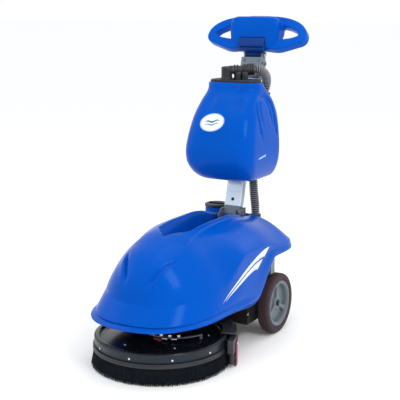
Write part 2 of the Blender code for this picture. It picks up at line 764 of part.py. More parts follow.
# Height, half width, front and rear of each level of the recovery tank.
TANK_LEVELS = (
    (0.4970, 0.085, 0.412, 0.588),
    (0.5000, 0.096, 0.398, 0.596),
    (0.5090, 0.106, 0.380, 0.600),
    (0.5300, 0.117, 0.356, 0.602),
    (0.5600, 0.125, 0.338, 0.603),
    (0.6000, 0.127, 0.334, 0.604),
    (0.6400, 0.124, 0.342, 0.606),
    (0.6800, 0.119, 0.355, 0.608),
    (0.7200, 0.113, 0.374, 0.604),
    (0.7600, 0.105, 0.403, 0.588),
    (0.7900, 0.098, 0.430, 0.560),
    (0.8150, 0.094, 0.438, 0.534),
)


def tank_ring(level, shrink=0.0):
    z, half_width, front, rear = level
    radius = min(0.045, (rear - front) / 2 - 0.006) - shrink / 2
    return rounded_rectangle(half_width - shrink, front + shrink, rear - shrink, radius, z)


def channel(grow):
    """The groove down the tank's back that the mast and the hose lie in, as a leaning box."""
    low = (-0.036 - grow, -0.0195 - grow, -0.1)
    high = (0.0745 + grow, 0.20, 0.70)
    return box(low, high)


def build_recovery_tank():
    tank = body("recovery_tank_axis", DECK_Y)
    pin_y, pin_z = MAST_PIVOT
    wall = 0.0035
    shell = add("recovery_tank", loft([tank_ring(level) for level in TANK_LEVELS]), tank,
                (BLUE, 0.25, 0.0))
    lean = {"location": (0, pin_y, pin_z), "rotation": (-MAST_LEAN, 0, 0)}
    cutter(shell, channel(0.0), **lean)
    inner_levels = [(0.5005, *TANK_LEVELS[0][1:]), *TANK_LEVELS[1:]]
    inside = loft([tank_ring((max(z, 0.5005 + i * 0.002), w, f, r), wall)
                   for i, (z, w, f, r) in enumerate(inner_levels)]
                  + [[(x * 0.98, 0.486 + (y - 0.486) * 0.98, 0.83)
                      for x, y, z in tank_ring(TANK_LEVELS[-1], wall)]])
    hollow = cutter(shell, inside)
    keep = bpy.data.objects.new("channel_keep", channel(wall))
    keep.parent = tank
    keep.location = lean["location"]
    keep.rotation_euler = lean["rotation"]
    keep.hide_render = True
    keep.display_type = "WIRE"
    CUTTERS.objects.link(keep)
    trim = hollow.modifiers.new("Boolean", "BOOLEAN")
    trim.operation = "DIFFERENCE"
    trim.object = keep
    turned(
        "float_valve",
        [(0.0, 0.8148), (0.006, 0.8148), (0.006, 0.790), (0.022, 0.786), (0.022, 0.745), (0.0, 0.740)],
        tank, (DARK_GREY, 0.5, 0.0), 20, (-0.010, 0.484, 0),
    )

    lid_axis = body("tank_lid_axis", DECK_Y)
    lid = add(
        "tank_lid",
        loft([rounded_rectangle(0.086, 0.446, 0.5260, 0.028, 0.8153),
              rounded_rectangle(0.086, 0.446, 0.5260, 0.028, 0.8245),
              rounded_rectangle(0.080, 0.452, 0.5200, 0.024, 0.8285)]),
        lid_axis, (BLACK, 0.45, 0.0),
    )
    bevel(lid, 0.001, 1)
    tube(
        "vacuum_elbow",
        smooth_path([(-0.026, 0.470, 0.8314), (-0.026, 0.470, 0.840), (-0.020, 0.4745, 0.850),
                     (-0.008, 0.4840, 0.8555), (0.0150, 0.5020, 0.8580)], 2),
        0.0165, lid_axis, (BLACK, 0.4, 0.0), 3,
    )
    add("hose_cuff", rod((0.0160, 0.5028, 0.8581), (0.0440, 0.5240, 0.8600), 0.0195, 20), lid_axis,
        (BLACK, 0.5, 0.0))
    return tank


# ---------------------------------------------------------------- suction hose


def mast_middle(z):
    return MAST_PIVOT[0] + math.tan(MAST_LEAN) * (z - MAST_PIVOT[1])


def hose_path():
    """The suction hose from the vacuum motor's inlet, up beside the mast and over to the lid."""
    rise = [(0.052, mast_middle(z) + 0.004, z) for z in (0.52, 0.57, 0.62, 0.67, 0.72)]
    return smooth_path(
        [(0.057, 0.530, 0.292), (0.057, 0.530, 0.345), (0.0565, 0.529, 0.390), (0.054, 0.521, 0.450),
         *rise, (0.0530, 0.5950, 0.775), (0.0620, 0.5920, 0.808), (0.0680, 0.576, 0.834),
         (0.0660, 0.555, 0.850), (0.0580, 0.5375, 0.8590), (0.0445, 0.5243, 0.8601)],
        3,
    )


def clip(name, path, index, on, inner):
    """A ring round the hose at one point of its path."""
    tangent = (path[index + 1] - path[index - 1]).normalized()
    turn = tangent.to_track_quat("Z", "Y").to_euler()
    return turned(name, ring_profile(inner, 0.0205, -0.006, 0.006), on, (BLACK, 0.5, 0.0), 20,
                  path[index], turn)


def build_hose(machine):
    path = hose_path()
    lower_clip, upper_clip = 18, 27
    spans = (
        ("suction_hose_lower", path[: lower_clip + 1]),
        ("suction_hose_middle", path[lower_clip : upper_clip + 1]),
        ("suction_hose_upper", path[upper_clip:]),
    )
    joint = 0.0018  # half of the gap between two lengths, inside their clip
    for name, span in spans:
        first = span[0] + (span[1] - span[0]).normalized() * joint
        last = span[-1] + (span[-2] - span[-1]).normalized() * joint
        tube(name, [first, *span[1:-1], last], HOSE_R, machine, (BLACK, 0.6, 0.0), 2)
    clip("mast_hose_clip", path, lower_clip, machine, HOSE_R + 0.0006)
    clip("tank_hose_clip", path, upper_clip, machine, HOSE_R + 0.0014)
    turned("hose_collar", ring_profile(HOSE_R + 0.0006, 0.0188, 0.342, 0.366), machine,
           (BLACK, 0.5, 0.0), 20, (0.057, 0.530, 0))


# ---------------------------------------------------------------- handle


def handle_outline():
    """Outer outline of the handle: a shallow V below and an arc above."""
    half = [(0.0, 0.002), (0.085, -0.004), (0.105, -0.001), (0.171, 0.022), (0.184, 0.032),
            (HANDLE_HALF_WIDTH, 0.046)]
    arc = []
    for i in range(1, 10):
        angle = math.pi / 2 * i / 9
        arc.append((HANDLE_HALF_WIDTH * math.cos(angle) ** 0.72,
                    0.046 + (HANDLE_HEIGHT - 0.046) * math.sin(angle) ** 0.95))
    right = half + arc
    return right + [(-x, z) for x, z in reversed(right[1:-1])]


def handle_hole(side):
    """One of the two three-cornered hand openings."""
    corners = [(0.077, 0.032), (0.134, 0.041), (0.155, 0.049), (0.158, 0.056), (0.146, 0.067),
               (0.120, 0.079), (0.088, 0.087), (0.076, 0.087), (0.071, 0.081), (0.071, 0.038)]
    points = [(side * x, z) for x, z in corners]
    return points if side > 0 else points[::-1]


def console_ring(n, half_width, low, high):
    """One section of the control pod in front of the handle, with cut corners."""
    cut = min(0.014, 0.4 * (high - low))
    corners = [(half_width, low + cut), (half_width, high - cut), (half_width - cut, high),
               (cut - half_width, high), (-half_width, high - cut), (-half_width, low + cut),
               (cut - half_width, low), (half_width - cut, low)]
    return [(x, w, n) for x, w in corners]


def build_handle():
    sine, cosine = math.sin(MAST_LEAN), math.cos(MAST_LEAN)
    pin_y, pin_z = MAST_PIVOT
    axis = body("handle_axis", DECK_Y + pin_y + sine * HANDLE_UP_MAST, pin_z + cosine * HANDLE_UP_MAST,
                0.0, HANDLE_LEAN)
    middle = HANDLE_SHELL_MIDDLE
    shell = add("handle_shell", outline_solid(handle_outline(), 0.017, middle), axis, (BLUE, 0.25, 0.0))
    for side in (1, -1):
        cutter(shell, outline_solid(handle_hole(side), 0.05, middle))
    pod = loft([
        [(x, n, w) for x, w, n in console_ring(*section)]
        for section in ((-0.0060, 0.088, 0.014, 0.117), (-0.0340, 0.090, 0.016, 0.116),
                        (-0.0500, 0.091, 0.038, 0.112), (-0.0640, 0.090, 0.060, 0.107),
                        (-0.0730, 0.086, 0.078, 0.099))
    ])
    cutter(shell, pod, "UNION")
    bevel(shell, 0.005, 2)
    cutter(shell, box((-0.0500, -0.0020, 0.028), (0.0500, 0.03, 0.108)))
    cutter(shell, box((-0.0395, -0.10, -0.05), (0.0395, 0.10, 0.0165)))
    cutter(shell, box((-0.0300, -0.0165, -0.03), (0.0300, 0.10, 0.0274)))
    cutter(shell, box((-0.0484, -0.10, -0.05), (0.0484, -0.0196, 0.0309)))
    boss = add("handle_boss", rod((-0.0295, 0, 0), (0.0295, 0, 0), 0.0150, 20), axis,
               (DARK_BLUE, 0.4, 0.0))
    cutter(boss, box((-0.0295, -0.0150, 0.0), (0.0295, 0.0125, 0.0270)), "UNION")
    cutter(boss, box((-0.0295, -0.0250, -0.0030), (0.0295, -0.0100, 0.0150)), "UNION")
    cutter(boss, box((-0.0480, -0.0345, -0.0040), (0.0480, -0.0200, 0.0305)), "UNION")
    cutter(boss, rod((-0.05, 0, 0), (0.05, 0, 0), 0.0056, 16))
    dash = add("dash_panel", box((-0.0496, -0.0016, 0.0284), (0.0496, 0.0024, 0.1076)), axis,
               (DARK_GREY, 0.5, 0.0), False)
    for x in (-0.030, 0.0, 0.030):
        cutter(dash, box((x - 0.0085, -0.01, 0.0395), (x + 0.0085, 0.03, 0.0565)))
    cutter(dash, rod((0.030, -0.01, 0.080), (0.030, 0.03, 0.080), 0.0085, 20))
    cutter(dash, box((-0.0365, 0.0010, 0.0685), (0.0055, 0.03, 0.0925)))
    for word, x, colour in (("brush", -0.030, RED), ("vacuum", 0.0, BLACK), ("water", 0.030, BLACK)):
        key = body(f"{word}_button_axis", 0.0, 0.0, 0.0, 0.0, axis)
        add(f"{word}_button", box((x - 0.008, 0.0016, 0.040), (x + 0.008, 0.0066, 0.056)), key,
            (colour, 0.4, 0.0), False)
    turn = body("key_switch_axis", 0.0, 0.080, 0.030, 0.0, axis)
    key = add("key_switch", rod((0, -0.0014, 0), (0, 0.0055, 0), 0.008, 20), turn, (STEEL, 0.3, 0.8))
    cutter(key, box((-0.0015, 0.0040, -0.0065), (0.0015, 0.013, 0.0065)), "UNION")


# ---------------------------------------------------------------- assembly


def build():
    machine = body("machine", DECK_Y)
    build_chassis(machine)
    build_hood(machine)
    build_solution_tank(machine)
    build_power(machine)
    build_filler_cap()
    for side, word in ((1, "left"), (-1, "right")):
        build_wheel(side, word)
    build_deck()
    build_brush()
    build_squeegee()
    build_mast(machine)
    build_lock_lever()
    build_recovery_tank()
    build_hose(machine)
    build_handle()


build()
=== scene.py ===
"""Looks of a compact walk-behind floor scrubber drier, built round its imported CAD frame."""

import json
import math
import random
from itertools import accumulate

import bmesh
import bpy
from mathutils import Matrix, Vector
from mathutils.bvhtree import BVHTree


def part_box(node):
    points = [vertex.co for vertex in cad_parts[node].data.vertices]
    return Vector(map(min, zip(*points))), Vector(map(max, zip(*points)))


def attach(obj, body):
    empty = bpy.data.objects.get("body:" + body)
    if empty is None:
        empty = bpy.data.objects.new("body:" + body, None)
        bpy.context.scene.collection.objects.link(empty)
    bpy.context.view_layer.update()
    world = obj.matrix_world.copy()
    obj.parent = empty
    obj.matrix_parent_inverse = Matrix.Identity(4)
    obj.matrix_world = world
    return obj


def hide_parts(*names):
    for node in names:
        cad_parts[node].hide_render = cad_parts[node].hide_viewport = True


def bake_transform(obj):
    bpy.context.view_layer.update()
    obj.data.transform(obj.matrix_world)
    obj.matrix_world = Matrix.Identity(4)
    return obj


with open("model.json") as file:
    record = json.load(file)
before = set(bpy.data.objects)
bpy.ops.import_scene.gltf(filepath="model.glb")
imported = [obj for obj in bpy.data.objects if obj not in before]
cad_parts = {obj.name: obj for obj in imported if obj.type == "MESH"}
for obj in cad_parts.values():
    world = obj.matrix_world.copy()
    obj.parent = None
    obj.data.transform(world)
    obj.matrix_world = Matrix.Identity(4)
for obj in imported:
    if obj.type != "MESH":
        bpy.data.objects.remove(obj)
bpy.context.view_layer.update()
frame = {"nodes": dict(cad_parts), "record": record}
SCENE = bpy.context.scene
RANDOM = random.Random(7)

deck_low, deck_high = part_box("clamp_band")
DECK = Vector((0.0, (deck_low.y + deck_high.y) / 2, 0.0))
DECK_FRAME = Matrix.Translation(DECK)
MAST_LEAN = math.radians(16.6)
MAST_PIVOT_Y, MAST_PIVOT_Z = 0.47, 0.372
PIVOT = DECK + Vector((0.0, MAST_PIVOT_Y, MAST_PIVOT_Z))
MAST_FRAME = Matrix.Translation(PIVOT) @ Matrix.Rotation(-MAST_LEAN, 4, "X")
HANDLE_LEAN = math.radians(30.0)
HANDLE_UP_MAST = 0.556
HANDLE_PIN = MAST_FRAME @ Vector((0.0, 0.0, HANDLE_UP_MAST))
HANDLE_FRAME = Matrix.Translation(HANDLE_PIN) @ Matrix.Rotation(-HANDLE_LEAN, 4, "X")
UPWARDS = (0, 0, 1)
SIDES = ((1, "left"), (-1, "right"))


# ---------------------------------------------------------------- camera, light and floor

CAMERA_FROM_DECK = (1.462, -2.322, 1.065)
CAMERA_LENS = 84.74
CAMERA_DIP, CAMERA_TURN = math.radians(11.593), math.radians(29.676)
LAMPS = (
    ("key_light", (2.2, -1.2, 2.4), 0.9, 24.0),
    ("left_light", (-2.4, -1.2, 1.7), 1.6, 6.0),
    ("rear_light", (1.2, 2.2, 2.4), 1.6, 8.0),
    ("top_light", (0.0, -0.1, 3.0), 1.8, 12.0),
)
LAMP_TARGET = Vector((0.0, 0.0, 0.45))


def build_stage():
    lens = bpy.data.cameras.new("camera")
    lens.sensor_width = 36.0
    lens.lens = CAMERA_LENS
    lens.clip_start = 0.05
    camera = bpy.data.objects.new("camera", lens)
    camera.location = DECK + Vector(CAMERA_FROM_DECK)
    camera.rotation_euler = (math.pi / 2 - CAMERA_DIP, 0.0, CAMERA_TURN)
    SCENE.collection.objects.link(camera)
    SCENE.camera = camera

    shape = bmesh.new()
    bmesh.ops.create_grid(shape, x_segments=1, y_segments=1, size=60.0)
    paper = finish("floor_paper", (0.975, 0.978, 0.98), 0.9, vary=0.005, bump=0.02, specular=0.02)
    floor = new_object("studio_floor", to_mesh(shape), paper)
    floor.location.z = -0.0006

    world = bpy.data.worlds.new("studio")
    world.use_nodes = True
    put(world.node_tree.nodes["Background"], Color=(0.985, 0.992, 1.0, 1.0), Strength=1.02)
    SCENE.world = world
    for name, place, size, power in LAMPS:
        light = bpy.data.lights.new(name, "AREA")
        light.size = size
        light.energy = power
        lamp = bpy.data.objects.new(name, light)
        lamp.location = place
        lamp.rotation_euler = (LAMP_TARGET - Vector(place)).to_track_quat("-Z", "Y").to_euler()
        SCENE.collection.objects.link(lamp)
    SCENE.view_settings.view_transform = "Standard"


# ---------------------------------------------------------------- materials

BUMP_DEPTH = 0.0004
DUST_COLOUR = (0.3, 0.3, 0.29, 1.0)


def put(node, **values):
    """Sets constants on a node's sockets. An underscore stands for a space in a socket's name."""
    for name, value in values.items():
        node.inputs[name.replace("_", " ")].default_value = value
    return node


def colour_ramp(nodes, *stops):
    ramp = nodes.new("ShaderNodeValToRGB")
    for element, (position, colour) in zip(ramp.color_ramp.elements, stops):
        element.position = position
        element.color = (*colour, 1.0)
    return ramp


def finish(name, colour, roughness, metallic=0.0, coat=0.0, coat_roughness=0.1, vary=0.1,
           vary_scale=5.0, rough_vary=0.06, bump=0.08, bump_scale=260.0, stretch=(1.0, 1.0, 1.0),
           dust=0.0, specular=0.5):
    """A procedural finish: uneven colour and gloss, a fine surface texture and a little dust."""
    made = bpy.data.materials.new(name)
    made.use_nodes = True
    made.diffuse_color = (*colour, 1.0)
    nodes, link = made.node_tree.nodes, made.node_tree.links.new
    shader = put(nodes["Principled BSDF"], Metallic=metallic, Coat_Weight=coat,
                 Coat_Roughness=coat_roughness, Specular_IOR_Level=specular)
    place = nodes.new("ShaderNodeTexCoord").outputs["Object"]
    mapping = put(nodes.new("ShaderNodeMapping"), Scale=stretch)
    link(place, mapping.inputs["Vector"])
    stretched = mapping.outputs["Vector"]

    def noise(scale, detail, vector):
        node = put(nodes.new("ShaderNodeTexNoise"), Scale=scale, Detail=detail)
        link(vector, node.inputs["Vector"])
        return node.outputs["Fac"]

    def map_range(value, **limits):
        node = put(nodes.new("ShaderNodeMapRange"), **limits)
        link(value, node.inputs["Value"])
        return node.outputs["Result"]

    ramp = colour_ramp(nodes, (0.3, [c * (1 - vary) for c in colour]),
                       (0.7, [min(c * (1 + vary), 1.0) for c in colour]))
    link(noise(vary_scale, 3.0, place), ramp.inputs["Fac"])
    tint = ramp.outputs["Color"]
    if dust > 0:
        mix = nodes.new("ShaderNodeMix")
        mix.data_type = "RGBA"
        mix.inputs["B"].default_value = DUST_COLOUR
        link(map_range(noise(90.0, 4.0, place), From_Min=0.6, From_Max=0.78, To_Max=dust),
             mix.inputs["Factor"])
        link(tint, mix.inputs["A"])
        tint = mix.outputs["Result"]
    link(tint, shader.inputs["Base Color"])
    gloss = map_range(noise(vary_scale * 3.1, 4.0, stretched), From_Min=0.3, From_Max=0.7,
                      To_Min=max(roughness - rough_vary, 0.02), To_Max=min(roughness + rough_vary, 1.0))
    link(gloss, shader.inputs["Roughness"])
    relief = put(nodes.new("ShaderNodeBump"), Strength=bump, Distance=BUMP_DEPTH)
    link(noise(bump_scale, 2.0, stretched), relief.inputs["Height"])
    link(relief.outputs["Normal"], shader.inputs["Normal"])
    return made


def paint_rib_highlights_and_shade(look, dark, light):
    """Painted shade in the valleys and painted highlights on the crests of a ribbed rubber, laid on by
    pointiness.
    """
    nodes, link = look.node_tree.nodes, look.node_tree.links.new
    ramp = colour_ramp(nodes, (0.47, dark), (0.56, light))
    link(nodes.new("ShaderNodeNewGeometry").outputs["Pointiness"], ramp.inputs["Fac"])
    link(ramp.outputs["Color"], nodes["Principled BSDF"].inputs["Base Color"])


FINISHES = {
    "blue_plastic": finish(
        "blue_rotomoulded", (0.0001, 0.078, 0.462), 0.24, coat=0.06, coat_roughness=0.12, vary=0.07,
        vary_scale=4.0, rough_vary=0.05, bump=0.1, bump_scale=170.0, specular=0.07),
    # A darker copy of the blue plastic. On the handle boss it is painted shade: the boss looks dark only
    # from the shade under the grip. The tank liner and brush plate wear it too.
    "dark_blue_plastic": finish(
        "dark_blue_plastic", (0.001, 0.032, 0.19), 0.4, bump=0.1, specular=0.15),
    "deck_black": finish(
        "deck_gloss_black", (0.0045, 0.0055, 0.0095), 0.22, coat=0.1, vary=0.25, rough_vary=0.08,
        bump=0.05, bump_scale=120.0, dust=0.08, specular=0.28),
    "black_plastic": finish(
        "black_moulded", (0.012, 0.013, 0.017), 0.45, vary=0.18, bump=0.25, bump_scale=700.0, dust=0.05),
    "band_grey": finish(
        "band_grey", (0.01, 0.016, 0.026), 0.34, specular=0.3, vary=0.12, bump_scale=300.0, dust=0.05),
    "bristle": finish(
        "bristle_nylon", (0.005, 0.009, 0.016), 0.6, specular=0.15, vary=0.35, vary_scale=60.0,
        bump=0.3, bump_scale=900.0, stretch=(1.0, 1.0, 0.1)),
    "frame_paint": finish(
        "frame_powder_coat", (0.012, 0.013, 0.016), 0.42, metallic=0.1, vary=0.15, bump=0.35,
        bump_scale=1100.0, dust=0.06),
    "bracket_grey": finish(
        "bracket_grey", (0.15, 0.19, 0.23), 0.38, metallic=0.4, vary=0.14, bump=0.15,
        bump_scale=240.0, stretch=(1.0, 1.0, 0.12), dust=0.05),
    "squeegee_metal": finish(
        "squeegee_cast", (0.05, 0.056, 0.064), 0.4, metallic=0.5, vary=0.2, bump=0.3,
        bump_scale=420.0, dust=0.06),
    "blade_rubber": finish(
        "blade_rubber", (0.014, 0.014, 0.015), 0.6, vary=0.15, bump=0.15, bump_scale=500.0),
    "blade_red": finish("blade_red", (0.16, 0.012, 0.022), 0.45, vary=0.15, bump=0.12, dust=0.08),
    "tyre_rubber": finish(
        "tyre_rubber", (0.044, 0.025, 0.029), 0.62, specular=0.2, vary=0.18, vary_scale=14.0,
        bump=0.4, bump_scale=520.0, dust=0.14),
    "rim_grey": finish(
        "rim_nylon", (0.12, 0.152, 0.172), 0.38, specular=0.3, vary=0.08, bump=0.15,
        bump_scale=380.0, dust=0.04),
    "mast_silver": finish(
        "mast_silver", (0.7, 0.82, 0.9), 0.26, metallic=0.35, vary=0.05, bump=0.1,
        bump_scale=420.0, stretch=(1.0, 1.0, 0.06), rough_vary=0.08),
    "zinc_steel": finish(
        "zinc_plate", (0.17, 0.2, 0.24), 0.32, metallic=0.5, vary=0.16, vary_scale=22.0, bump=0.12,
        bump_scale=300.0, rough_vary=0.1),
    "bright_steel": finish(
        "bright_screws", (0.66, 0.68, 0.72), 0.2, metallic=1.0, vary=0.05, bump=0.03),
    "battery_grey": finish(
        "battery_case", (0.035, 0.038, 0.042), 0.5, vary=0.12, bump=0.25, bump_scale=600.0),
    "motor_alloy": finish(
        "cast_alloy", (0.3, 0.31, 0.33), 0.42, metallic=0.8, vary=0.12, bump=0.4, bump_scale=420.0),
    "motor_paint": finish(
        "motor_paint", (0.02, 0.022, 0.026), 0.35, metallic=0.3, vary=0.15, bump=0.15),
    "hose_rubber": finish(
        "hose_rubber", (0.012, 0.015, 0.02), 0.3, vary=0.2, bump=0.1, bump_scale=500.0),
    "red_plastic": finish("red_plastic", (0.42, 0.012, 0.016), 0.3, vary=0.08, bump=0.06),
}
WHITE_FILM = finish("white_film", (0.74, 0.8, 0.86), 0.3, vary=0.03, bump=0.03, coat=0.2)
PALE_FILM = finish("pale_blue_film", (0.26, 0.46, 0.82), 0.35, vary=0.04, bump=0.03)
TEAL_FILM = finish("teal_film", (0.01, 0.13, 0.26), 0.35, vary=0.06, bump=0.03)
put(FINISHES["blue_plastic"].node_tree.nodes["Principled BSDF"], Specular_Tint=(0.05, 0.4, 1.0, 1.0))
# Painted highlights on the hose's rib crests and painted shade in its valleys.
paint_rib_highlights_and_shade(FINISHES["hose_rubber"], (0.002, 0.003, 0.004), (0.24, 0.255, 0.28))


def dress_frame():
    """Gives every carried-over CAD node the finish of its slot."""
    for entry in frame["record"]["subparts"]:
        mesh = frame["nodes"][entry["node"]].data
        mesh.materials.clear()
        mesh.materials.append(FINISHES[entry["material_slot"]])


# ---------------------------------------------------------------- pieces


def to_mesh(shape):
    bmesh.ops.recalc_face_normals(shape, faces=shape.faces)
    mesh = bpy.data.meshes.new("shape")
    shape.to_mesh(mesh)
    shape.free()
    return mesh


def shade(mesh, angle):
    mesh.shade_smooth()
    mesh.set_sharp_from_angle(angle=math.radians(angle))


def new_object(name, mesh, look, angle=35.0):
    made = bpy.data.objects.new(name, mesh)
    mesh.name = name
    mesh.materials.clear()
    mesh.materials.append(look)
    shade(mesh, angle)
    SCENE.collection.objects.link(made)
    return made


def place_piece(made, body, slot=None, *replaced):
    """Puts a finished piece on its body and hides the CAD nodes that it stands for."""
    if replaced:
        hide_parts(*replaced)
    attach(made, body)


def add_piece(name, shape, body, slot, *replaced, at=Matrix(), angle=35.0, look=None):
    """Makes a shape drawn in the frame 'at' into a piece with the finish of its slot."""
    shape.transform(at)
    made = new_object(name, to_mesh(shape), look or FINISHES[slot], angle)
    place_piece(made, body, slot, *replaced)


def modify(made, **steps):
    """Puts modifiers on an object in turn, each with its settings, and keeps the result."""
    for kind, settings in steps.items():
        step = made.modifiers.new(kind, kind)
        for name, value in settings.items():
            setattr(step, name, value)
    graph = bpy.context.evaluated_depsgraph_get()
    graph.update()
    baked = bpy.data.meshes.new_from_object(made.evaluated_get(graph), depsgraph=graph)
    made.modifiers.clear()
    made.data = baked


def boolean(target, shape, operation="DIFFERENCE"):
    tool = new_object("tool", to_mesh(shape), FINISHES["blue_plastic"])
    modify(target, BOOLEAN={"object": tool, "operation": operation, "solver": "EXACT"})
    bpy.data.objects.remove(tool)


# ---------------------------------------------------------------- mesh shapes


def polar(radius, angle, height=0.0):
    return Vector((radius * math.cos(angle), radius * math.sin(angle), height))


def aim(place, axis):
    """A frame at a place whose Z runs along an axis."""
    turn = Vector(axis).to_track_quat("Z", "Y").to_matrix().to_4x4()
    return Matrix.Translation(place) @ turn


def add_rings(shape, rings, caps=True, closed=False):
    """A skin over rings of points. Closed joins the last ring to the first."""
    rows = [[shape.verts.new(point) for point in ring] for ring in rings]
    pairs = list(zip(rows, rows[1:]))
    if closed:
        pairs.append((rows[-1], rows[0]))
    for lower, upper in pairs:
        for i in range(len(lower)):
            j = (i + 1) % len(lower)
            shape.faces.new((lower[i], lower[j], upper[j], upper[i]))
    if caps and not closed:
        shape.faces.new(rows[0][::-1])
        shape.faces.new(rows[-1])


def add_turned(shape, profile, steps, matrix=Matrix(), closed=True):
    """Turns a profile of (radius, height) about the matrix's Z axis. Radii stay above zero."""
    rings = [[matrix @ polar(radius, math.tau * i / steps, height) for i in range(steps)]
             for radius, height in profile]
    add_rings(shape, rings, closed=closed)


def add_turned_piece(name, profile, steps, at, *place, angle=35.0):
    """A piece that is one closed profile turned about the Z axis of the frame 'at'."""
    shape = bmesh.new()
    add_turned(shape, profile, steps)
    add_piece(name, shape, *place, at=at, angle=angle)


def unique(found):
    return list(dict.fromkeys(found))


def add_box(shape, low, high, bevel=0.0, segments=2, matrix=Matrix()):
    verts = bmesh.ops.create_cube(shape, size=1.0)["verts"]
    bmesh.ops.scale(shape, vec=[b - a for a, b in zip(low, high)], verts=verts)
    bmesh.ops.translate(shape, vec=[(a + b) / 2 for a, b in zip(low, high)], verts=verts)
    if bevel > 0:
        edges = unique(edge for vert in verts for edge in vert.link_edges)
        result = bmesh.ops.bevel(shape, geom=edges, offset=bevel, segments=segments, profile=0.5,
                                 affect="EDGES")
        verts = unique(vert for face in result["faces"] for vert in face.verts)
    bmesh.ops.transform(shape, matrix=matrix, verts=verts)


def add_screw(shape, place, axis, radius=0.004, height=0.0022, hexagon=False):
    """A domed screw with a recess, or a hexagon bolt on its washer."""
    matrix = aim(place, axis)
    if hexagon:
        washer, sink = radius * 1.35, 0.0008
        add_turned(shape, [(0.0004, -0.001), (washer, -0.001), (washer, sink), (0.0004, sink)],
                   20, matrix, False)
        add_turned(shape, [(0.0004, 0.0006), (radius, 0.0006), (radius, height * 0.85),
                           (radius * 0.86, height), (0.0004, height)], 6, matrix, False)
        return
    profile = [(0.0003, -0.001), (radius, -0.001), (radius, height * 0.35),
               (radius * 0.9, height * 0.72), (radius * 0.66, height * 0.95), (radius * 0.42, height),
               (radius * 0.34, height * 0.55), (0.0003, height * 0.5)]
    add_turned(shape, profile, 18, matrix, False)


def add_screw_circle(shape, centre, radius, height, degrees, outward, *size):
    """Screws round a centre at the angles given, pointing outwards or up."""
    for angle in degrees:
        out = polar(1.0, math.radians(angle))
        place = centre + out * radius + Vector((0, 0, height))
        add_screw(shape, place, out if outward else UPWARDS, *size)


def smooth_path(points, pieces):
    given = [Vector(p) for p in points]
    ends = [2 * given[0] - given[1], *given, 2 * given[-1] - given[-2]]
    path = []
    for a, b, c, d in zip(ends, ends[1:], ends[2:], ends[3:]):
        for i in range(pieces):
            t = i / pieces
            path.append(0.5 * (2 * b + (c - a) * t + (2 * a - 5 * b + 4 * c - d) * t**2
                               + (3 * b - a - 3 * c + d) * t**3))
    path.append(given[-1])
    return path


def distances(path):
    """How far along the path each of its points is."""
    return list(accumulate(((b - a).length for a, b in zip(path, path[1:])), initial=0.0))


def even_path(path, step):
    """The same path with points at equal distances."""
    lengths = distances(path)
    total = lengths[-1]
    count = max(int(round(total / step)), 2)
    even, span = [], 0
    for i in range(count + 1):
        want = total * i / count
        while span < len(path) - 2 and lengths[span + 1] < want:
            span += 1
        share = (want - lengths[span]) / max(lengths[span + 1] - lengths[span], 1e-9)
        even.append(path[span].lerp(path[span + 1], min(max(share, 0.0), 1.0)))
    return even


def add_sweep(shape, path, radius_at, sides):
    """A round bar along a path. radius_at takes the distance along it and the whole length."""
    across = Vector((1.0, 0.0, 0.0))
    turns = [math.tau * k / sides for k in range(sides)]
    lengths = distances(path)
    rings = []
    for i, point in enumerate(path):
        along = (path[min(i + 1, len(path) - 1)] - path[max(i - 1, 0)]).normalized()
        across = (across - along * across.dot(along)).normalized()
        third = along.cross(across)
        radius = radius_at(lengths[i], lengths[-1])
        rings.append([point + (across * math.cos(turn) + third * math.sin(turn)) * radius
                      for turn in turns])
    add_rings(shape, rings)


def rounded_ring(half, front, rear, radius, z, steps, run=1):
    """A level rectangle with rounded corners, each straight side cut into 'run' parts."""
    centres = ((half - radius, rear - radius), (radius - half, rear - radius),
               (radius - half, front + radius), (half - radius, front + radius))
    corners = []
    for quarter, (x, y) in enumerate(centres):
        turns = [(quarter + i / steps) * math.pi / 2 for i in range(steps + 1)]
        corners.append([(x + radius * math.cos(turn), y + radius * math.sin(turn)) for turn in turns])
    ring = []
    for corner, following in zip(corners, corners[1:] + corners[:1]):
        (x0, y0), (x1, y1) = corner[-1], following[0]
        ring += corner
        ring += [(x0 + (x1 - x0) * i / run, y0 + (y1 - y0) * i / run) for i in range(1, run)]
    return [(x, y, z) for x, y in ring]


def mirrored(half):
    return half + [(-x, y) for x, y in reversed(half[1:-1])]


def ease(value, low, high):
    t = min(max((value - low) / (high - low), 0.0), 1.0)
    return t * t * (3 - 2 * t)


def between(value, start, full, fading, end):
    """Rises from 0 to 1, then falls back to 0."""
    return ease(value, start, full) * (1 - ease(value, fading, end))


def bell(away, width):
    return math.exp(-((away / width) ** 2))


def blend(x, table):
    if x <= table[0][0]:
        return table[0][1]
    for (x0, v0), (x1, v1) in zip(table, table[1:]):
        if x <= x1:
            return v0 + (v1 - v0) * ease(x, x0, x1)
    return table[-1][1]


# ---------------------------------------------------------------- hood

HOOD_HALF_WIDTH = 0.2
HOOD_FRONT_Y = -0.198
HOOD_MIDDLE_Y = 0.2
HOOD_REAR_Y = 0.625
HOOD_CREST_Z = 0.402
HOOD_NOSE_Z = 0.222
HOOD_SKIN = 0.0038
TROUGH_HALF_WIDTH = 0.054
TROUGH_REAR_Y = 0.5025
TROUGH_FLOOR_Z = 0.3095
NECK_CENTRE = Vector((-0.095, 0.53))
NECK_HOLE_RADIUS = 0.0285
FRONT_STEPS, SIDE_STEPS, REAR_STEPS = 84, 34, 36


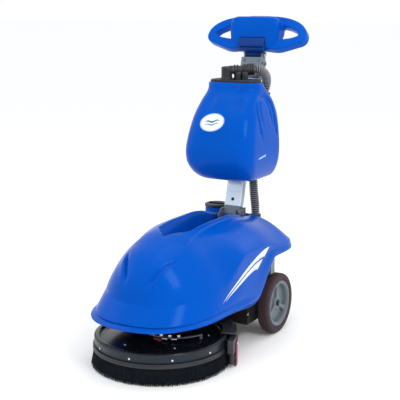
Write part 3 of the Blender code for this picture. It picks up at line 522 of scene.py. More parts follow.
def hood_half():
    """Half of the hood's plan outline from nose to tail, about the deck's middle."""
    front_middle, rear_middle = 0.07, 0.48
    half = []
    for i in range(FRONT_STEPS):
        angle = math.pi / 2 * (i / FRONT_STEPS) ** 1.25
        half.append((HOOD_HALF_WIDTH * math.sin(angle) ** 0.83,
                     front_middle - (front_middle - HOOD_FRONT_Y) * math.cos(angle) ** 0.83))
    for i in range(SIDE_STEPS):
        half.append((HOOD_HALF_WIDTH,
                     front_middle + (rear_middle - front_middle) * i / SIDE_STEPS))
    for i in range(REAR_STEPS + 1):
        angle = math.pi / 2 * (1 - (1 - i / REAR_STEPS) ** 1.25)
        half.append((HOOD_HALF_WIDTH * max(math.cos(angle), 0.0) ** 0.8,
                     rear_middle + (HOOD_REAR_Y - rear_middle) * math.sin(angle) ** 0.8))
    return half


def hood_inner(half):
    """The line inside the outline where the hood's top turns down into its flank."""
    drawn = []
    for x, y in half:
        inset = blend(y, ((-0.1, 0.0265), (0.15, 0.0045)))
        keep = 1 - inset / math.hypot(x, (y - HOOD_MIDDLE_Y) / 2)
        drawn.append((x * keep, HOOD_MIDDLE_Y + (y - HOOD_MIDDLE_Y) * keep))
    return drawn


HALF = hood_half()
INNER = hood_inner(HALF)


def hood_shoulder(y):
    return blend(y, ((HOOD_FRONT_Y, HOOD_NOSE_Z), (0.05, 0.25), (0.2, 0.32), (0.3, 0.32),
                     (0.52, 0.288)))


def hood_crest(y):
    if y < HOOD_MIDDLE_Y:
        run = min((HOOD_MIDDLE_Y - y) / (HOOD_MIDDLE_Y - INNER[0][1]), 1.0)
        return HOOD_NOSE_Z + (HOOD_CREST_Z - HOOD_NOSE_Z) * (1 - run**2.73) ** 0.48
    return blend(y, ((0.3, HOOD_CREST_Z), (0.5, 0.372), (HOOD_REAR_Y, 0.29)))


def hood_edge(y):
    return blend(y, ((0.05, 0.155), (0.25, 0.14), (0.262, 0.142), (0.4, 0.262), (0.5, 0.262)))


def hood_width(y):
    for (x0, y0), (x1, y1) in zip(INNER, INNER[1:]):
        if y0 <= y <= y1:
            return x0 + (x1 - x0) * (y - y0) / max(y1 - y0, 1e-6)
    return 0.0


def segment_distance(x, y, start, end):
    """Distance to a segment, and the share of the way along it."""
    run = Vector(end) - Vector(start)
    share = (Vector((x, y)) - Vector(start)).dot(run) / run.length_squared
    held = min(max(share, 0.0), 1.0)
    return (Vector((x, y)) - Vector(start) - run * held).length, share


def hood_relief(x, y):
    """The raised middle panel, and on each side of the nose a crease with a swelling beside it."""
    edge = blend(y, ((-0.02, 0.088), (0.1, 0.076), (0.3, 0.073), (0.44, 0.06)))
    panel = 0.005 * (1 - ease(abs(x), edge - 0.002, edge + 0.002)) * between(y, -0.03, 0.05, 0.36, 0.44)
    away, share = segment_distance(abs(x), y, (0.084, -0.05), (0.038, -0.13))
    crease = 0.012 * bell(away, 0.0046) * between(share, -0.1, 0.15, 0.8, 1.12)
    away, share = segment_distance(abs(x), y, (0.092, -0.056), (0.055, -0.13))
    swell = 0.0055 * bell(away, 0.008) * between(share, -0.15, 0.2, 0.7, 1.1)
    return panel - crease + swell


def hood_top(x, y):
    low = hood_shoulder(y)
    across = min(abs(x) / max(hood_width(y), 0.001), 1.0)
    return low + (hood_crest(y) - low) * (1 - across**2.6)


def trough_point(share):
    """Half of the trough's outline from its nose to the middle of its rear edge."""
    tip_y, nose_y, half, corner = 0.012, 0.1, TROUGH_HALF_WIDTH, 0.014
    if share < 0.3:
        along = share / 0.3
        return half * math.sin(math.pi / 2 * along) ** 1.75, tip_y + (nose_y - tip_y) * along**1.15
    if share < 0.8:
        return half, nose_y + (TROUGH_REAR_Y - corner - nose_y) * (share - 0.3) / 0.5
    if share < 0.9:
        angle = math.pi / 2 * (share - 0.8) / 0.1
        return (half - corner + corner * math.cos(angle),
                TROUGH_REAR_Y - corner + corner * math.sin(angle))
    return (half - corner) * (1 - share) / 0.1, TROUGH_REAR_Y


def trough_floor(y, rim):
    return TROUGH_FLOOR_Z + (rim - TROUGH_FLOOR_Z) * (1 - ease(y, 0.0, 0.085)) * 0.75


def towards_spine(x, y, amount, inward=0.0):
    """A point of the trough's outline drawn towards the trough's spine."""
    spine_y = min(max(y, 0.075), TROUGH_REAR_Y - 0.03)
    slope = 1 + 2.6 * (1 - ease(y, 0.06, 0.3))
    keep = max(1 - amount * slope / max(math.hypot(x, y - spine_y), 1e-4), 0.05) * (1 - inward)
    return x * keep, spine_y + (y - spine_y) * keep


def trough_rings(hole):
    """The trough from the middle of its floor outwards, then up its sloping walls."""
    wall_inset = 0.0095
    rings = []
    for inward in (0.9, 0.62, 0.36, 0.15):
        rings.append([(*towards_spine(x, y, wall_inset, inward), trough_floor(y, hood_top(x, y)))
                      for x, y in hole])
    for amount, drop in ((wall_inset, 0.97), (0.008, 0.88), (0.0066, 0.74), (0.0052, 0.56),
                         (0.0038, 0.36), (0.0025, 0.18), (0.0012, 0.07)):
        ring = []
        for x, y in hole:
            top = hood_top(x, y)
            rim = top - 0.004
            ring.append((*towards_spine(x, y, amount), rim - (rim - trough_floor(y, top)) * drop))
        rings.append(ring)
    return rings


def top_rings(hole, crease):
    """The hood's top, from the trough's rim to the crease above the flank."""
    shares = [0.0, 0.01, 0.022, 0.036, 0.055, 0.08, 0.1]
    shares += [0.1 + 0.0095 * i for i in range(1, 19)]
    shares += [0.3, 0.33, 0.36] + [0.36 + 0.0165 * i for i in range(1, 32)]
    shares += [0.89, 0.91, 0.93, 0.95, 0.97, 0.985, 1.0]

    def point(share, start, end):
        x, y = (a + (b - a) * share for a, b in zip(start, end))
        fillet = 0.0045 * (1 - ease(share, -0.004, 0.042)) ** 1.6
        return x, y, hood_top(x, y) + hood_relief(x, y) - fillet

    return [[point(share, *ends) for ends in zip(hole, crease)] for share in shares]


def flank_rings(outline, crease):
    """The hood's flank with its beaded lower edge, from the crease down."""
    shares = [0.03, 0.07, 0.12, 0.18, 0.25, 0.33, 0.41, 0.49, 0.56, 0.62, 0.67, 0.71, 0.74]
    shares += [0.765 + 0.02 * i for i in range(12)] + [1.0]
    rings = []
    for share in shares:
        lean = min(share / 0.8, 1.0)
        ring = []
        for (x, y), (inner_x, inner_y) in zip(outline, crease):
            push = 0.0085 * bell(share - 0.9, 0.05) * (1 - ease(y, 0.18, 0.3))
            push -= 0.004 * ease(share, 0.94, 1.0)
            push -= 0.003 * bell(share - 0.79, 0.03) * (1 - ease(y, 0.1, 0.25))
            push -= 0.004 * math.sin(math.pi * ease(share, 0.02, 0.75)) * between(y, -0.02, 0.1, 0.4, 0.52)
            grow = 1 + push / math.hypot(x, (y - HOOD_MIDDLE_Y) / 2)
            high, low = hood_shoulder(y), hood_edge(y)
            ring.append(((inner_x + (x - inner_x) * lean) * grow,
                         HOOD_MIDDLE_Y + (inner_y + (y - inner_y) * lean - HOOD_MIDDLE_Y) * grow,
                         high + (low - high) * share))
        rings.append(ring)
    return rings


def build_hood():
    count = len(HALF) - 1
    hole = mirrored([trough_point(i / count) for i in range(count + 1)])
    crease = mirrored(INNER)
    shape = bmesh.new()
    rings = trough_rings(hole) + top_rings(hole, crease) + flank_rings(mirrored(HALF), crease)
    add_rings(shape, rings, caps=False)
    shape.faces.new(list(shape.verts)[: len(hole)])
    bmesh.ops.triangulate(shape, faces=[f for f in shape.faces if len(f.verts) > 4])
    bmesh.ops.remove_doubles(shape, verts=shape.verts, dist=0.00002)
    neck = [f for f in shape.faces
            if (f.calc_center_median().xy - NECK_CENTRE).length < NECK_HOLE_RADIUS and f.normal.z > 0.2]
    bmesh.ops.delete(shape, geom=neck, context="FACES")
    shape.transform(DECK_FRAME)
    hood = new_object("hood_shell", to_mesh(shape), FINISHES["blue_plastic"], 50.0)
    if sum(p.normal.z for p in hood.data.polygons if abs(p.center.x) < 0.1 and p.center.z > 0.38) < 0:
        hood.data.flip_normals()
    modify(hood, SOLIDIFY={"thickness": HOOD_SKIN, "offset": -1.0})
    shade(hood.data, 50)
    place_piece(hood, "chassis", "blue_plastic", "tank_hood")
    return hood


def tree_of(made):
    shape = bmesh.new()
    shape.from_mesh(made.data)
    shape.transform(made.matrix_world)
    tree = BVHTree.FromBMesh(shape)
    shape.free()
    return tree


def draped_film(name, tree, rows, look, direction, body, lift=0.0005):
    """A thin film whose rows of points are dropped along a direction onto a surface."""
    direction = Vector(direction)
    shape = bmesh.new()
    grid = []
    for row in rows:
        line = []
        for point in row:
            hit, normal, _, _ = tree.ray_cast(Vector(point), direction)
            if hit is None:
                line.append(None)
                continue
            if normal.dot(direction) > 0:
                normal = -normal
            line.append(shape.verts.new(hit + normal * lift))
        grid.append(line)
    for a, b in zip(grid, grid[1:]):
        for i in range(len(a) - 1):
            corners = (a[i], a[i + 1], b[i + 1], b[i])
            if all(corners):
                shape.faces.new(corners)
    shape.normal_update()
    if sum(f.normal.dot(direction) for f in shape.faces) > 0:
        bmesh.ops.reverse_faces(shape, faces=shape.faces)
    mesh = bpy.data.meshes.new(name)
    shape.to_mesh(mesh)
    shape.free()
    made = new_object(name, mesh, look, 60.0)
    modify(made, SOLIDIFY={"thickness": lift * 0.8, "offset": -1.0})
    made.data.shade_smooth()
    place_piece(made, body)


def build_stripes(hood):
    """Two tapering white stripes that sweep up each flank of the hood."""
    tree = tree_of(hood)
    start_x, along, across = 0.3, 32, 3
    stripes = (
        ("outer", ((0.352, 0.306), (0.32, 0.278)), ((0.233, 0.283), (0.227, 0.2665)), (0.04, 0.199)),
        ("inner", ((0.309, 0.275), (0.27, 0.248)), ((0.216, 0.259), (0.208, 0.244)), (0.058, 0.201)),
    )
    for word, wide_end, middle, tip in stripes:
        for side, side_word in SIDES:
            rows = []
            for i in range(along + 1):
                t = i / along
                edges = []
                for start, halfway in zip(wide_end, middle):
                    a, b, c = Vector(start), Vector(halfway), Vector(tip)
                    control = 2 * b - (a + c) / 2
                    edges.append(a * (1 - t) ** 2 + control * 2 * t * (1 - t) + c * t**2)
                points = [edges[0].lerp(edges[1], k / across) for k in range(across + 1)]
                rows.append([(side * start_x, DECK.y + at.x, at.y) for at in points])
            draped_film(f"stripe_{word}_{side_word}", tree, rows, WHITE_FILM, (-side, 0, 0), "chassis")


# ---------------------------------------------------------------- recovery tank

# Height, half width, front and rear.
TANK_LEVELS = (
    (0.497, 0.085, 0.412, 0.588), (0.5, 0.096, 0.398, 0.596), (0.509, 0.106, 0.38, 0.6),
    (0.53, 0.117, 0.356, 0.602), (0.56, 0.125, 0.338, 0.603), (0.6, 0.127, 0.334, 0.604),
    (0.64, 0.124, 0.342, 0.606), (0.68, 0.119, 0.355, 0.608), (0.72, 0.113, 0.374, 0.604),
    (0.76, 0.105, 0.403, 0.588), (0.79, 0.098, 0.43, 0.56), (0.815, 0.094, 0.438, 0.534),
    (0.8195, 0.093, 0.44, 0.532),
)
TANK_LOW, TANK_HIGH = TANK_LEVELS[0][0], TANK_LEVELS[-1][0]
TANK_RINGS = 84
BADGE_X, BADGE_Z = -0.019, 0.695
BADGE_TILT = 0.14
FILM_START_Y = 0.2


def tank_level(z):
    """Half width, front and rear of the tank at a height, on a smooth curve through its levels."""
    levels = TANK_LEVELS
    if z <= TANK_LOW:
        return levels[0][1:]
    for i in range(len(levels) - 1):
        z0, z1 = levels[i][0], levels[i + 1][0]
        if z <= z1:
            t = (z - z0) / (z1 - z0)
            before = levels[max(i - 1, 0)]
            after = levels[min(i + 2, len(levels) - 1)]
            found = []
            for k in (1, 2, 3):
                a, b, c, d = before[k], levels[i][k], levels[i + 1][k], after[k]
                slope0 = (c - a) / max(z1 - before[0], 1e-6) * (z1 - z0)
                slope1 = (d - b) / max(after[0] - z0, 1e-6) * (z1 - z0)
                found.append((2 * t**3 - 3 * t**2 + 1) * b + (t**3 - 2 * t**2 + t) * slope0
                             + (3 * t**2 - 2 * t**3) * c + (t**3 - t**2) * slope1)
            return tuple(found)
    return levels[-1][1:]


def tank_ring(z, shrink=0.0):
    half, front, rear = tank_level(z)
    half, front, rear = half - shrink, front + shrink, rear - shrink
    radius = min(0.05, (rear - front) / 2 - 0.006) - shrink / 2
    return rounded_ring(half, front, rear, radius, z, 14, 26)


def arch_depth(y, z, half_width, height, foot):
    """How deep the arched groove on the tank's flank is at a point."""
    middle = 0.487 + (z - 0.7) * -0.13
    across = (y - middle) / half_width
    if z < foot:
        return 0.0
    if z < height:
        away = abs(abs(across) - 1.0) * half_width
    else:
        away = abs(math.hypot(across, (z - height) / 0.048) - 1.0) * 0.045
    return bell(away, 0.0045) * ease(z, foot, foot + 0.05)


def tank_relief(point):
    """Moves a point of the tank to where its moulded features put it."""
    x, y, z = point
    half, front, _ = tank_level(z)
    on_side = ease(abs(x), half - 0.03, half - 0.004) * ease(y, front + 0.02, front + 0.045)
    grooves = 0.006 * arch_depth(y, z, 0.057, 0.728, 0.62) + 0.004 * arch_depth(y, z, 0.034, 0.722, 0.66)
    x -= math.copysign(grooves * on_side, x)
    on_front = 1 - ease(y, front + 0.004, front + 0.03)
    line = 0.772 + (abs(x) - 0.028) * 0.92
    y -= on_front * 0.0035 * ease(z, line - 0.004, line + 0.016) * ease(abs(x), 0.03, 0.045)
    y += on_front * 0.009 * bell(abs(x) - 0.052, 0.018) * bell(z - 0.758, 0.026)
    y -= 0.005 * (1 - (x / half) ** 2) * on_front * between(z, 0.52, 0.6, 0.76, 0.815)
    return x, y, z


def build_tank():
    rings = [[(x, y, TANK_LOW - 0.0004) for x, y, _ in tank_ring(TANK_LOW, 0.012)]]
    for i in range(TANK_RINGS):
        z = TANK_LOW + (TANK_HIGH - TANK_LOW) * (i / TANK_RINGS)
        rings.append([tank_relief(p) for p in tank_ring(z)])
    for shrink, drop in ((0.0, 0.0035), (0.0008, 0.0016), (0.0022, 0.0005), (0.004, 0.0), (0.0085, 0.0)):
        rings.append(tank_ring(TANK_HIGH - drop, shrink))
    for drop in (0.003, 0.02, 0.05, 0.068):
        rings.append([(x, y, TANK_HIGH - drop) for x, y, _ in tank_ring(TANK_HIGH, 0.0095)])
    shape = bmesh.new()
    add_rings(shape, rings)
    shape.transform(DECK_FRAME)
    tank = new_object("recovery_tank_shell", to_mesh(shape), FINISHES["blue_plastic"], 40.0)
    channel = bmesh.new()
    add_box(channel, (-0.0356, -0.0191, -0.1), (0.0741, 0.2, 0.7), 0.006, 4, MAST_FRAME)
    boolean(tank, channel)
    shade(tank.data, 38)
    tree = tree_of(tank)
    place_piece(tank, "dirty_tank", "blue_plastic", "recovery_tank")
    build_badge(tree)


def disc_rows(width, height, start=0.001, end=1.0, rings=7, steps=40):
    """Rows round an oval about the badge's middle, in front of the tank."""
    rows = []
    for k in range(rings + 1):
        size = start + (end - start) * k / rings
        row = []
        for i in range(steps + 1):
            angle = math.tau * i / steps
            u, v = width / 2 * size * math.cos(angle), height / 2 * size * math.sin(angle)
            row.append((BADGE_X + u * math.cos(BADGE_TILT) - v * math.sin(BADGE_TILT),
                        DECK.y + FILM_START_Y,
                        BADGE_Z + u * math.sin(BADGE_TILT) + v * math.cos(BADGE_TILT)))
        rows.append(row)
    return rows


def build_badge(tree):
    """A plain oval plate with a generic wave, and a plain pale bar on each flank."""
    backwards = (0, 1, 0)
    draped_film("badge_plate", tree, disc_rows(0.086, 0.053), WHITE_FILM, backwards, "dirty_tank", 0.0008)
    draped_film("badge_rim", tree, disc_rows(0.09, 0.057, 0.93, 1.0, 2, 48), PALE_FILM, backwards,
                "dirty_tank", 0.0011)
    for number, (level, height) in enumerate(((0.699, 0.005), (0.6895, 0.0032))):
        rows = []
        for k in range(3):
            row = []
            for i in range(41):
                t = i / 40
                x = BADGE_X - 0.027 + 0.054 * t
                swell = math.sin(math.pi * t) ** 0.6
                z = level + 0.0022 * math.sin(t * math.tau * 1.5) + height * swell * (k / 2 - 0.5)
                row.append((x, DECK.y + FILM_START_Y, z + BADGE_TILT * (x - BADGE_X)))
            rows.append(row)
        draped_film(f"badge_wave_{number}", tree, rows, TEAL_FILM, backwards, "dirty_tank", 0.0011)
    for side, word in SIDES:
        rows = [[(side * 0.25, DECK.y + 0.408 + 0.052 * i / 12, 0.5785 - 0.0032 * k + 0.006 * i / 12)
                 for i in range(13)] for k in (-1, 0, 1)]
        draped_film(f"flank_bar_{word}", tree, rows, PALE_FILM, (-side, 0, 0), "dirty_tank", 0.0006)


def build_lid():
    """The tank's lid, as half width, front, rear, corner radius and height from below upwards."""
    levels = ((0.078, 0.456, 0.514, 0.02, 0.812), (0.079, 0.455, 0.515, 0.021, 0.813),
              (0.079, 0.455, 0.515, 0.021, 0.8198), (0.085, 0.447, 0.525, 0.027, 0.8198),
              (0.086, 0.446, 0.526, 0.028, 0.8206), (0.086, 0.446, 0.526, 0.028, 0.8226),
              (0.085, 0.447, 0.525, 0.027, 0.8232), (0.085, 0.447, 0.525, 0.027, 0.8238),
              (0.0858, 0.4462, 0.5258, 0.028, 0.8244), (0.0852, 0.4468, 0.5252, 0.0275, 0.8268),
              (0.083, 0.449, 0.523, 0.026, 0.8283), (0.07, 0.459, 0.513, 0.02, 0.8283),
              (0.069, 0.46, 0.512, 0.019, 0.8274))
    shape = bmesh.new()
    add_rings(shape, [rounded_ring(*level, 9) for level in levels])
    add_piece("tank_lid_cover", shape, "dirty_tank_lid", "black_plastic", "tank_lid", at=DECK_FRAME,
              angle=40.0)


# ---------------------------------------------------------------- handle

HANDLE_MIDDLE = Vector((0.0, -0.0153, 0.0085))
HANDLE_HALF_WIDTH = 0.188
HANDLE_HEIGHT = 0.124
WIDEST_Z = 0.046
POD_CORNER = 0.02


def handle_outline(steps=26):
    half = [(0.0, 0.002), (0.045, 0.0), (0.085, -0.004), (0.105, -0.001), (0.14, 0.011),
            (0.171, 0.022), (0.181, 0.0285), (0.186, 0.037), (HANDLE_HALF_WIDTH, WIDEST_Z)]
    for i in range(1, steps + 1):
        angle = math.pi / 2 * i / steps
        half.append((HANDLE_HALF_WIDTH * max(math.cos(angle), 0.0) ** 0.72,
                     WIDEST_Z + (HANDLE_HEIGHT - WIDEST_Z) * math.sin(angle) ** 0.95))
    return mirrored(half)


def handle_hole(side):
    corners = [(0.078, 0.032), (0.134, 0.041), (0.155, 0.049), (0.158, 0.056), (0.146, 0.067),
               (0.12, 0.079), (0.088, 0.087), (0.077, 0.087), (0.072, 0.081), (0.072, 0.038)]
    points = [(side * x, z) for x, z in corners]
    return points if side > 0 else points[::-1]


def handle_prism(outline, half):
    shape = bmesh.new()
    x, y, z = HANDLE_MIDDLE
    add_rings(shape, [[(x + u, y + side, z + v) for u, v in outline] for side in (-half, half)])
    return shape


def pod_ring(height, half_width, front, steps=7):
    """One level section of the control pod: flat at the back, rounded at its front corners."""
    ring = [(half_width, 0.0, height), (half_width, front / 3, height)]
    for x, quarter in ((half_width - POD_CORNER, 0), (POD_CORNER - half_width, 1)):
        for i in range(steps + 1):
            angle = (quarter + i / steps) * math.pi / 2
            ring.append((x + POD_CORNER * math.cos(angle),
                         front + POD_CORNER - POD_CORNER * math.sin(angle), height))
    return ring + [(-half_width, front / 3, height), (-half_width, 0.0, height)]


def build_grip():
    """The grip with its control pod, softened as one moulding, then cut clear of boss and dash."""
    grip = new_object("handle_grip", to_mesh(handle_prism(handle_outline(), 0.0165)),
                      FINISHES["blue_plastic"], 50.0)
    for side in (1, -1):
        boolean(grip, handle_prism(handle_hole(side), 0.05))
    pod = bmesh.new()
    levels = ((0.009, 0.062, -0.033), (0.014, 0.074, -0.037), (0.024, 0.084, -0.042),
              (0.04, 0.09, -0.0505), (0.058, 0.092, -0.0595), (0.075, 0.093, -0.067),
              (0.088, 0.092, -0.0715), (0.098, 0.089, -0.0735), (0.106, 0.084, -0.071),
              (0.112, 0.078, -0.063), (0.116, 0.071, -0.048))
    add_rings(pod, [pod_ring(*level) for level in levels])
    boolean(grip, pod, "UNION")
    modify(grip, REMESH={"mode": "VOXEL", "voxel_size": 0.0022}, SMOOTH={"factor": 0.6, "iterations": 12})
    for half, near, low, far, high in (
        (0.0502, -0.0021, 0.0278, 0.03, 0.1082), (0.0395, -0.1, -0.05, 0.1, 0.0165),
        (0.0484, -0.1, -0.05, -0.0405, 0.04), (0.03, -0.0165, -0.03, 0.1, 0.0274),
        (0.0484, -0.1, -0.05, -0.0196, 0.0309),
    ):
        cut = bmesh.new()
        add_box(cut, (-half, near, low), (half, far, high))
        boolean(grip, cut)
    grip.data.transform(HANDLE_FRAME)
    shade(grip.data, 45)
    place_piece(grip, "handle", "blue_plastic", "handle_shell")


def build_boss():
    boss = bmesh.new()
    add_box(boss, (-0.048, -0.04, -0.004), (0.048, -0.02, 0.0305), 0.004, 3)
    add_box(boss, (-0.048, -0.049, 0.006), (0.048, -0.0409, 0.0396), 0.003, 3)
    add_box(boss, (-0.0295, -0.025, -0.003), (0.0295, -0.014, 0.015))
    add_box(boss, (-0.0295, -0.016, 0.01), (0.0295, 0.0125, 0.027), 0.002, 2)
    add_turned(boss, [(0.0057, 0.0), (0.0057, 0.059), (0.0138, 0.059), (0.0148, 0.0575), (0.0148, 0.0015),
                      (0.0138, 0.0)], 40, aim((-0.0295, 0, 0), (1, 0, 0)))
    # The boss takes the darker blue: painted shade for the shade under the grip.
    add_piece("handle_boss_cover", boss, "handle", "dark_blue_plastic", "handle_boss", at=HANDLE_FRAME)


def build_dash():
    """Frames round the three buttons, corner screws and a row of gauge bars."""
    dash = bmesh.new()
    near, far, outer, inner = 0.0022, 0.0032, 0.0105, 0.0088
    for x in (-0.03, 0.0, 0.03):
        for left, low, right, high in ((-outer, 0.038, outer, 0.0396), (-outer, 0.0564, outer, 0.058),
                                       (-outer, 0.0396, -inner, 0.0564), (inner, 0.0396, outer, 0.0564)):
            add_box(dash, (x + left, near, low), (x + right, far, high))
    for x in (-0.045, 0.045):
        for z in (0.033, 0.103):
            add_screw(dash, (x, 0.0024, z), (0, 1, 0), 0.0026, 0.0014)
    for i in range(5):
        left = -0.033 + i * 0.0074
        add_box(dash, (left, 0.0008, 0.074), (left + 0.0054, 0.0018, 0.087), 0.0004, 1)
    add_piece("dash_frames", dash, "handle", "zinc_steel", at=HANDLE_FRAME)


# ---------------------------------------------------------------- mast


def mast_section(half_x, half_y, radius, up):
    return rounded_ring(half_x, -half_y, half_y, radius, up, 5)


def build_mast():
    low, high = 0.0262, 0.529
    post = bmesh.new()
    outer = [mast_section(0.0295, 0.0145, 0.0035, low)]
    outer += [mast_section(0.03, 0.015, 0.0035, up) for up in (0.0268, high)]
    inner = [mast_section(0.0278, 0.0128, 0.0015, up) for up in (high, low)]
    add_rings(post, outer + inner, closed=True)
    add_piece("mast_post", post, "mast", "mast_silver", "mast_tube", at=MAST_FRAME)

    rest = bmesh.new()
    add_box(rest, (-0.0262, -0.0172, 0.075), (0.0262, -0.0151, 0.129), 0.0008, 2)
    add_box(rest, (-0.0262, -0.042, 0.1262), (0.0262, -0.016, 0.13), 0.001, 2)
    add_piece("tank_rest", rest, "mast", "bracket_grey", "tank_support", at=MAST_FRAME,
              look=FINISHES["mast_silver"])

    studs = bmesh.new()
    for near, up in ((-0.015, 0.0485), (-0.0172, 0.113)):
        add_screw(studs, (0.0, near, up), (0, -1, 0), 0.0055, 0.0026)
    add_piece("mast_studs", studs, "mast", "motor_paint", at=MAST_FRAME)

    bolts = bmesh.new()
    for side in (1, -1):
        add_screw(bolts, (side * 0.0383, 0, HANDLE_UP_MAST), (side, 0, 0), 0.007, 0.0045, True)
    add_piece("mast_bolts", bolts, "mast", "bright_steel", at=MAST_FRAME)

    rims = bmesh.new()
    for up in (0.4722, 0.5285):
        rings = [mast_section(0.0346, 0.0196, 0.005, up - 0.0024)]
        rings += [mast_section(0.0352, 0.0202, 0.005, up + k) for k in (-0.0018, 0.0018)]
        rings.append(mast_section(0.0346, 0.0196, 0.005, up + 0.0024))
        hole = [mast_section(0.0305, 0.0155, 0.0035, up + k) for k in (0.0024, -0.0024)]
        add_rings(rims, rings + hole, closed=True)
    add_piece("mast_head_rims", rims, "mast", "zinc_steel", at=MAST_FRAME)

    cover = bmesh.new()
    add_box(cover, (-0.039, -0.0236, 0.47), (0.039, -0.0198, 0.541), 0.0016, 2)
    for side in (1, -1):
        left, right = sorted((side * 0.0352, side * 0.039))
        add_box(cover, (left, -0.022, 0.47), (right, 0.016, 0.537), 0.0014, 2)
        for up in (0.483, 0.524):
            for y in (-0.011, 0.008):
                add_screw(cover, (side * 0.039, y, up), (side, 0, 0), 0.0044, 0.0042, True)
    for x in (-0.027, 0.027):
        for up in (0.48, 0.505, 0.531):
            add_screw(cover, (x, -0.0236, up), (0, -1, 0), 0.0044, 0.0036, True)
    add_piece("mast_head_plate", cover, "mast", "bracket_grey", at=MAST_FRAME)

    foot = bmesh.new()
    for side in (1, -1):
        add_screw(foot, PIVOT + Vector((side * 0.0384, 0, 0)), (side, 0, 0), 0.0055, 0.003, True)
        for y in (0.436, 0.488):
            add_screw(foot, DECK + Vector((side * 0.0344, y, 0.326)), (side, 0, 0), 0.004, 0.003, True)
    add_piece("foot_bolts", foot, "chassis", "zinc_steel")


# ---------------------------------------------------------------- hose

RIB_PITCH = 0.0068
POINTS_PER_SPAN = 12
ELBOW_TOP = (-0.026, 0.47, 0.0)


def hose_points():
    rise = [(0.052, MAST_PIVOT_Y + math.tan(MAST_LEAN) * (z - MAST_PIVOT_Z) + 0.004, z)
            for z in (0.52, 0.57, 0.62, 0.67, 0.72)]
    points = [(0.057, 0.53, 0.292), (0.057, 0.53, 0.345), (0.0565, 0.529, 0.39),
              (0.054, 0.521, 0.45), *rise, (0.053, 0.595, 0.775), (0.062, 0.592, 0.808),
              (0.068, 0.576, 0.834), (0.066, 0.555, 0.85), (0.058, 0.5375, 0.859),
              (0.0445, 0.5243, 0.8601)]
    return [DECK + Vector(p) for p in points]


def hose_radius(distance, total):
    """Plain where a length ends in its clip, ribbed between."""
    if distance < 0.004 or distance > total - 0.004:
        return 0.0146
    wave = 0.5 + 0.5 * math.cos(math.tau * distance / RIB_PITCH)
    return 0.0112 + 0.0048 * wave**1.3


def build_hose():
    """Three corrugated lengths that meet inside their clips."""
    path = smooth_path(hose_points(), POINTS_PER_SPAN)
    collar, mast_clip, tank_clip = (POINTS_PER_SPAN * spans for spans in (1, 6, 9))
    lengths = (
        ("lower", 0, mast_clip, collar, ("chassis", "mast")),
        ("middle", mast_clip, tank_clip, mast_clip, ("mast", "dirty_tank")),
        ("upper", tank_clip, len(path) - 1, tank_clip, ("dirty_tank", "dirty_tank_lid")),
    )
    for word, start, end, fixed, bodies in lengths:
        shape = bmesh.new()
        add_sweep(shape, even_path(path[start : end + 1], RIB_PITCH / 8), hose_radius, 22)
        piece = new_object(f"hose_{word}", to_mesh(shape), FINISHES["hose_rubber"], 60.0)
        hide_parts(f"suction_hose_{word}")
        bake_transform(piece)


def build_elbow():
    """The ribbed elbow on the lid with the float valve's caps beside it, and the hose's cuff."""
    shape = bmesh.new()
    bend = [(-0.026, 0.47, 0.829), (-0.026, 0.47, 0.848), (-0.0235, 0.4716, 0.856),
            (-0.016, 0.4775, 0.8592), (-0.006, 0.4855, 0.8592), (0.006, 0.495, 0.859),
            (0.018, 0.504, 0.859)]
    path = even_path(smooth_path([DECK + Vector(p) for p in bend], 10), 0.0008)

    def barrel(distance, total):
        if distance < 0.03:
            return 0.015
        if 0.05 < distance < 0.054 or 0.06 < distance < 0.064:
            return 0.0172
        return 0.0138

    add_sweep(shape, path, barrel, 28)
    stub = [(0.0005, 0.8275), (0.024, 0.8275), (0.024, 0.8315), (0.0205, 0.8325), (0.0188, 0.835)]
    for rib in range(4):
        up = 0.007 * rib
        stub += [(0.019, 0.8375 + up), (0.0172, 0.8383 + up), (0.0172, 0.8405 + up), (0.019, 0.8413 + up)]
    stub += [(0.019, 0.865), (0.0172, 0.8688), (0.011, 0.8708), (0.0005, 0.871)]
    add_turned(shape, stub, 40, Matrix.Translation(DECK + Vector(ELBOW_TOP)), False)
    valve = [(0.0005, 0.8275), (0.0165, 0.8275), (0.0165, 0.835), (0.015, 0.8356), (0.015, 0.842),
             (0.0165, 0.8426), (0.0165, 0.85), (0.014, 0.854), (0.0005, 0.8545)]
    for x, y, size, steps in ((0.006, 0.493, 1.0, 32), (0.033, 0.488, 0.62, 24)):
        add_turned(shape, [(radius * size, z) for radius, z in valve], steps,
                   Matrix.Translation(DECK + Vector((x, y, 0.0))), False)
    add_piece("suction_elbow", shape, "dirty_tank_lid", "black_plastic", "vacuum_elbow")

    def ridged(distance, total):
        if distance < 0.0024 or distance > total - 0.0024:
            return 0.019
        return 0.0202 if (distance * 125) % 1.0 < 0.55 else 0.0168

    cuff = bmesh.new()
    ends = [DECK + Vector((0.016, 0.5028, 0.8581)), DECK + Vector((0.046, 0.5255, 0.86))]
    add_sweep(cuff, even_path(ends, 0.0007), ridged, 28)
    add_piece("suction_cuff", cuff, "dirty_tank_lid", "black_plastic", "hose_cuff")


# ---------------------------------------------------------------- deck

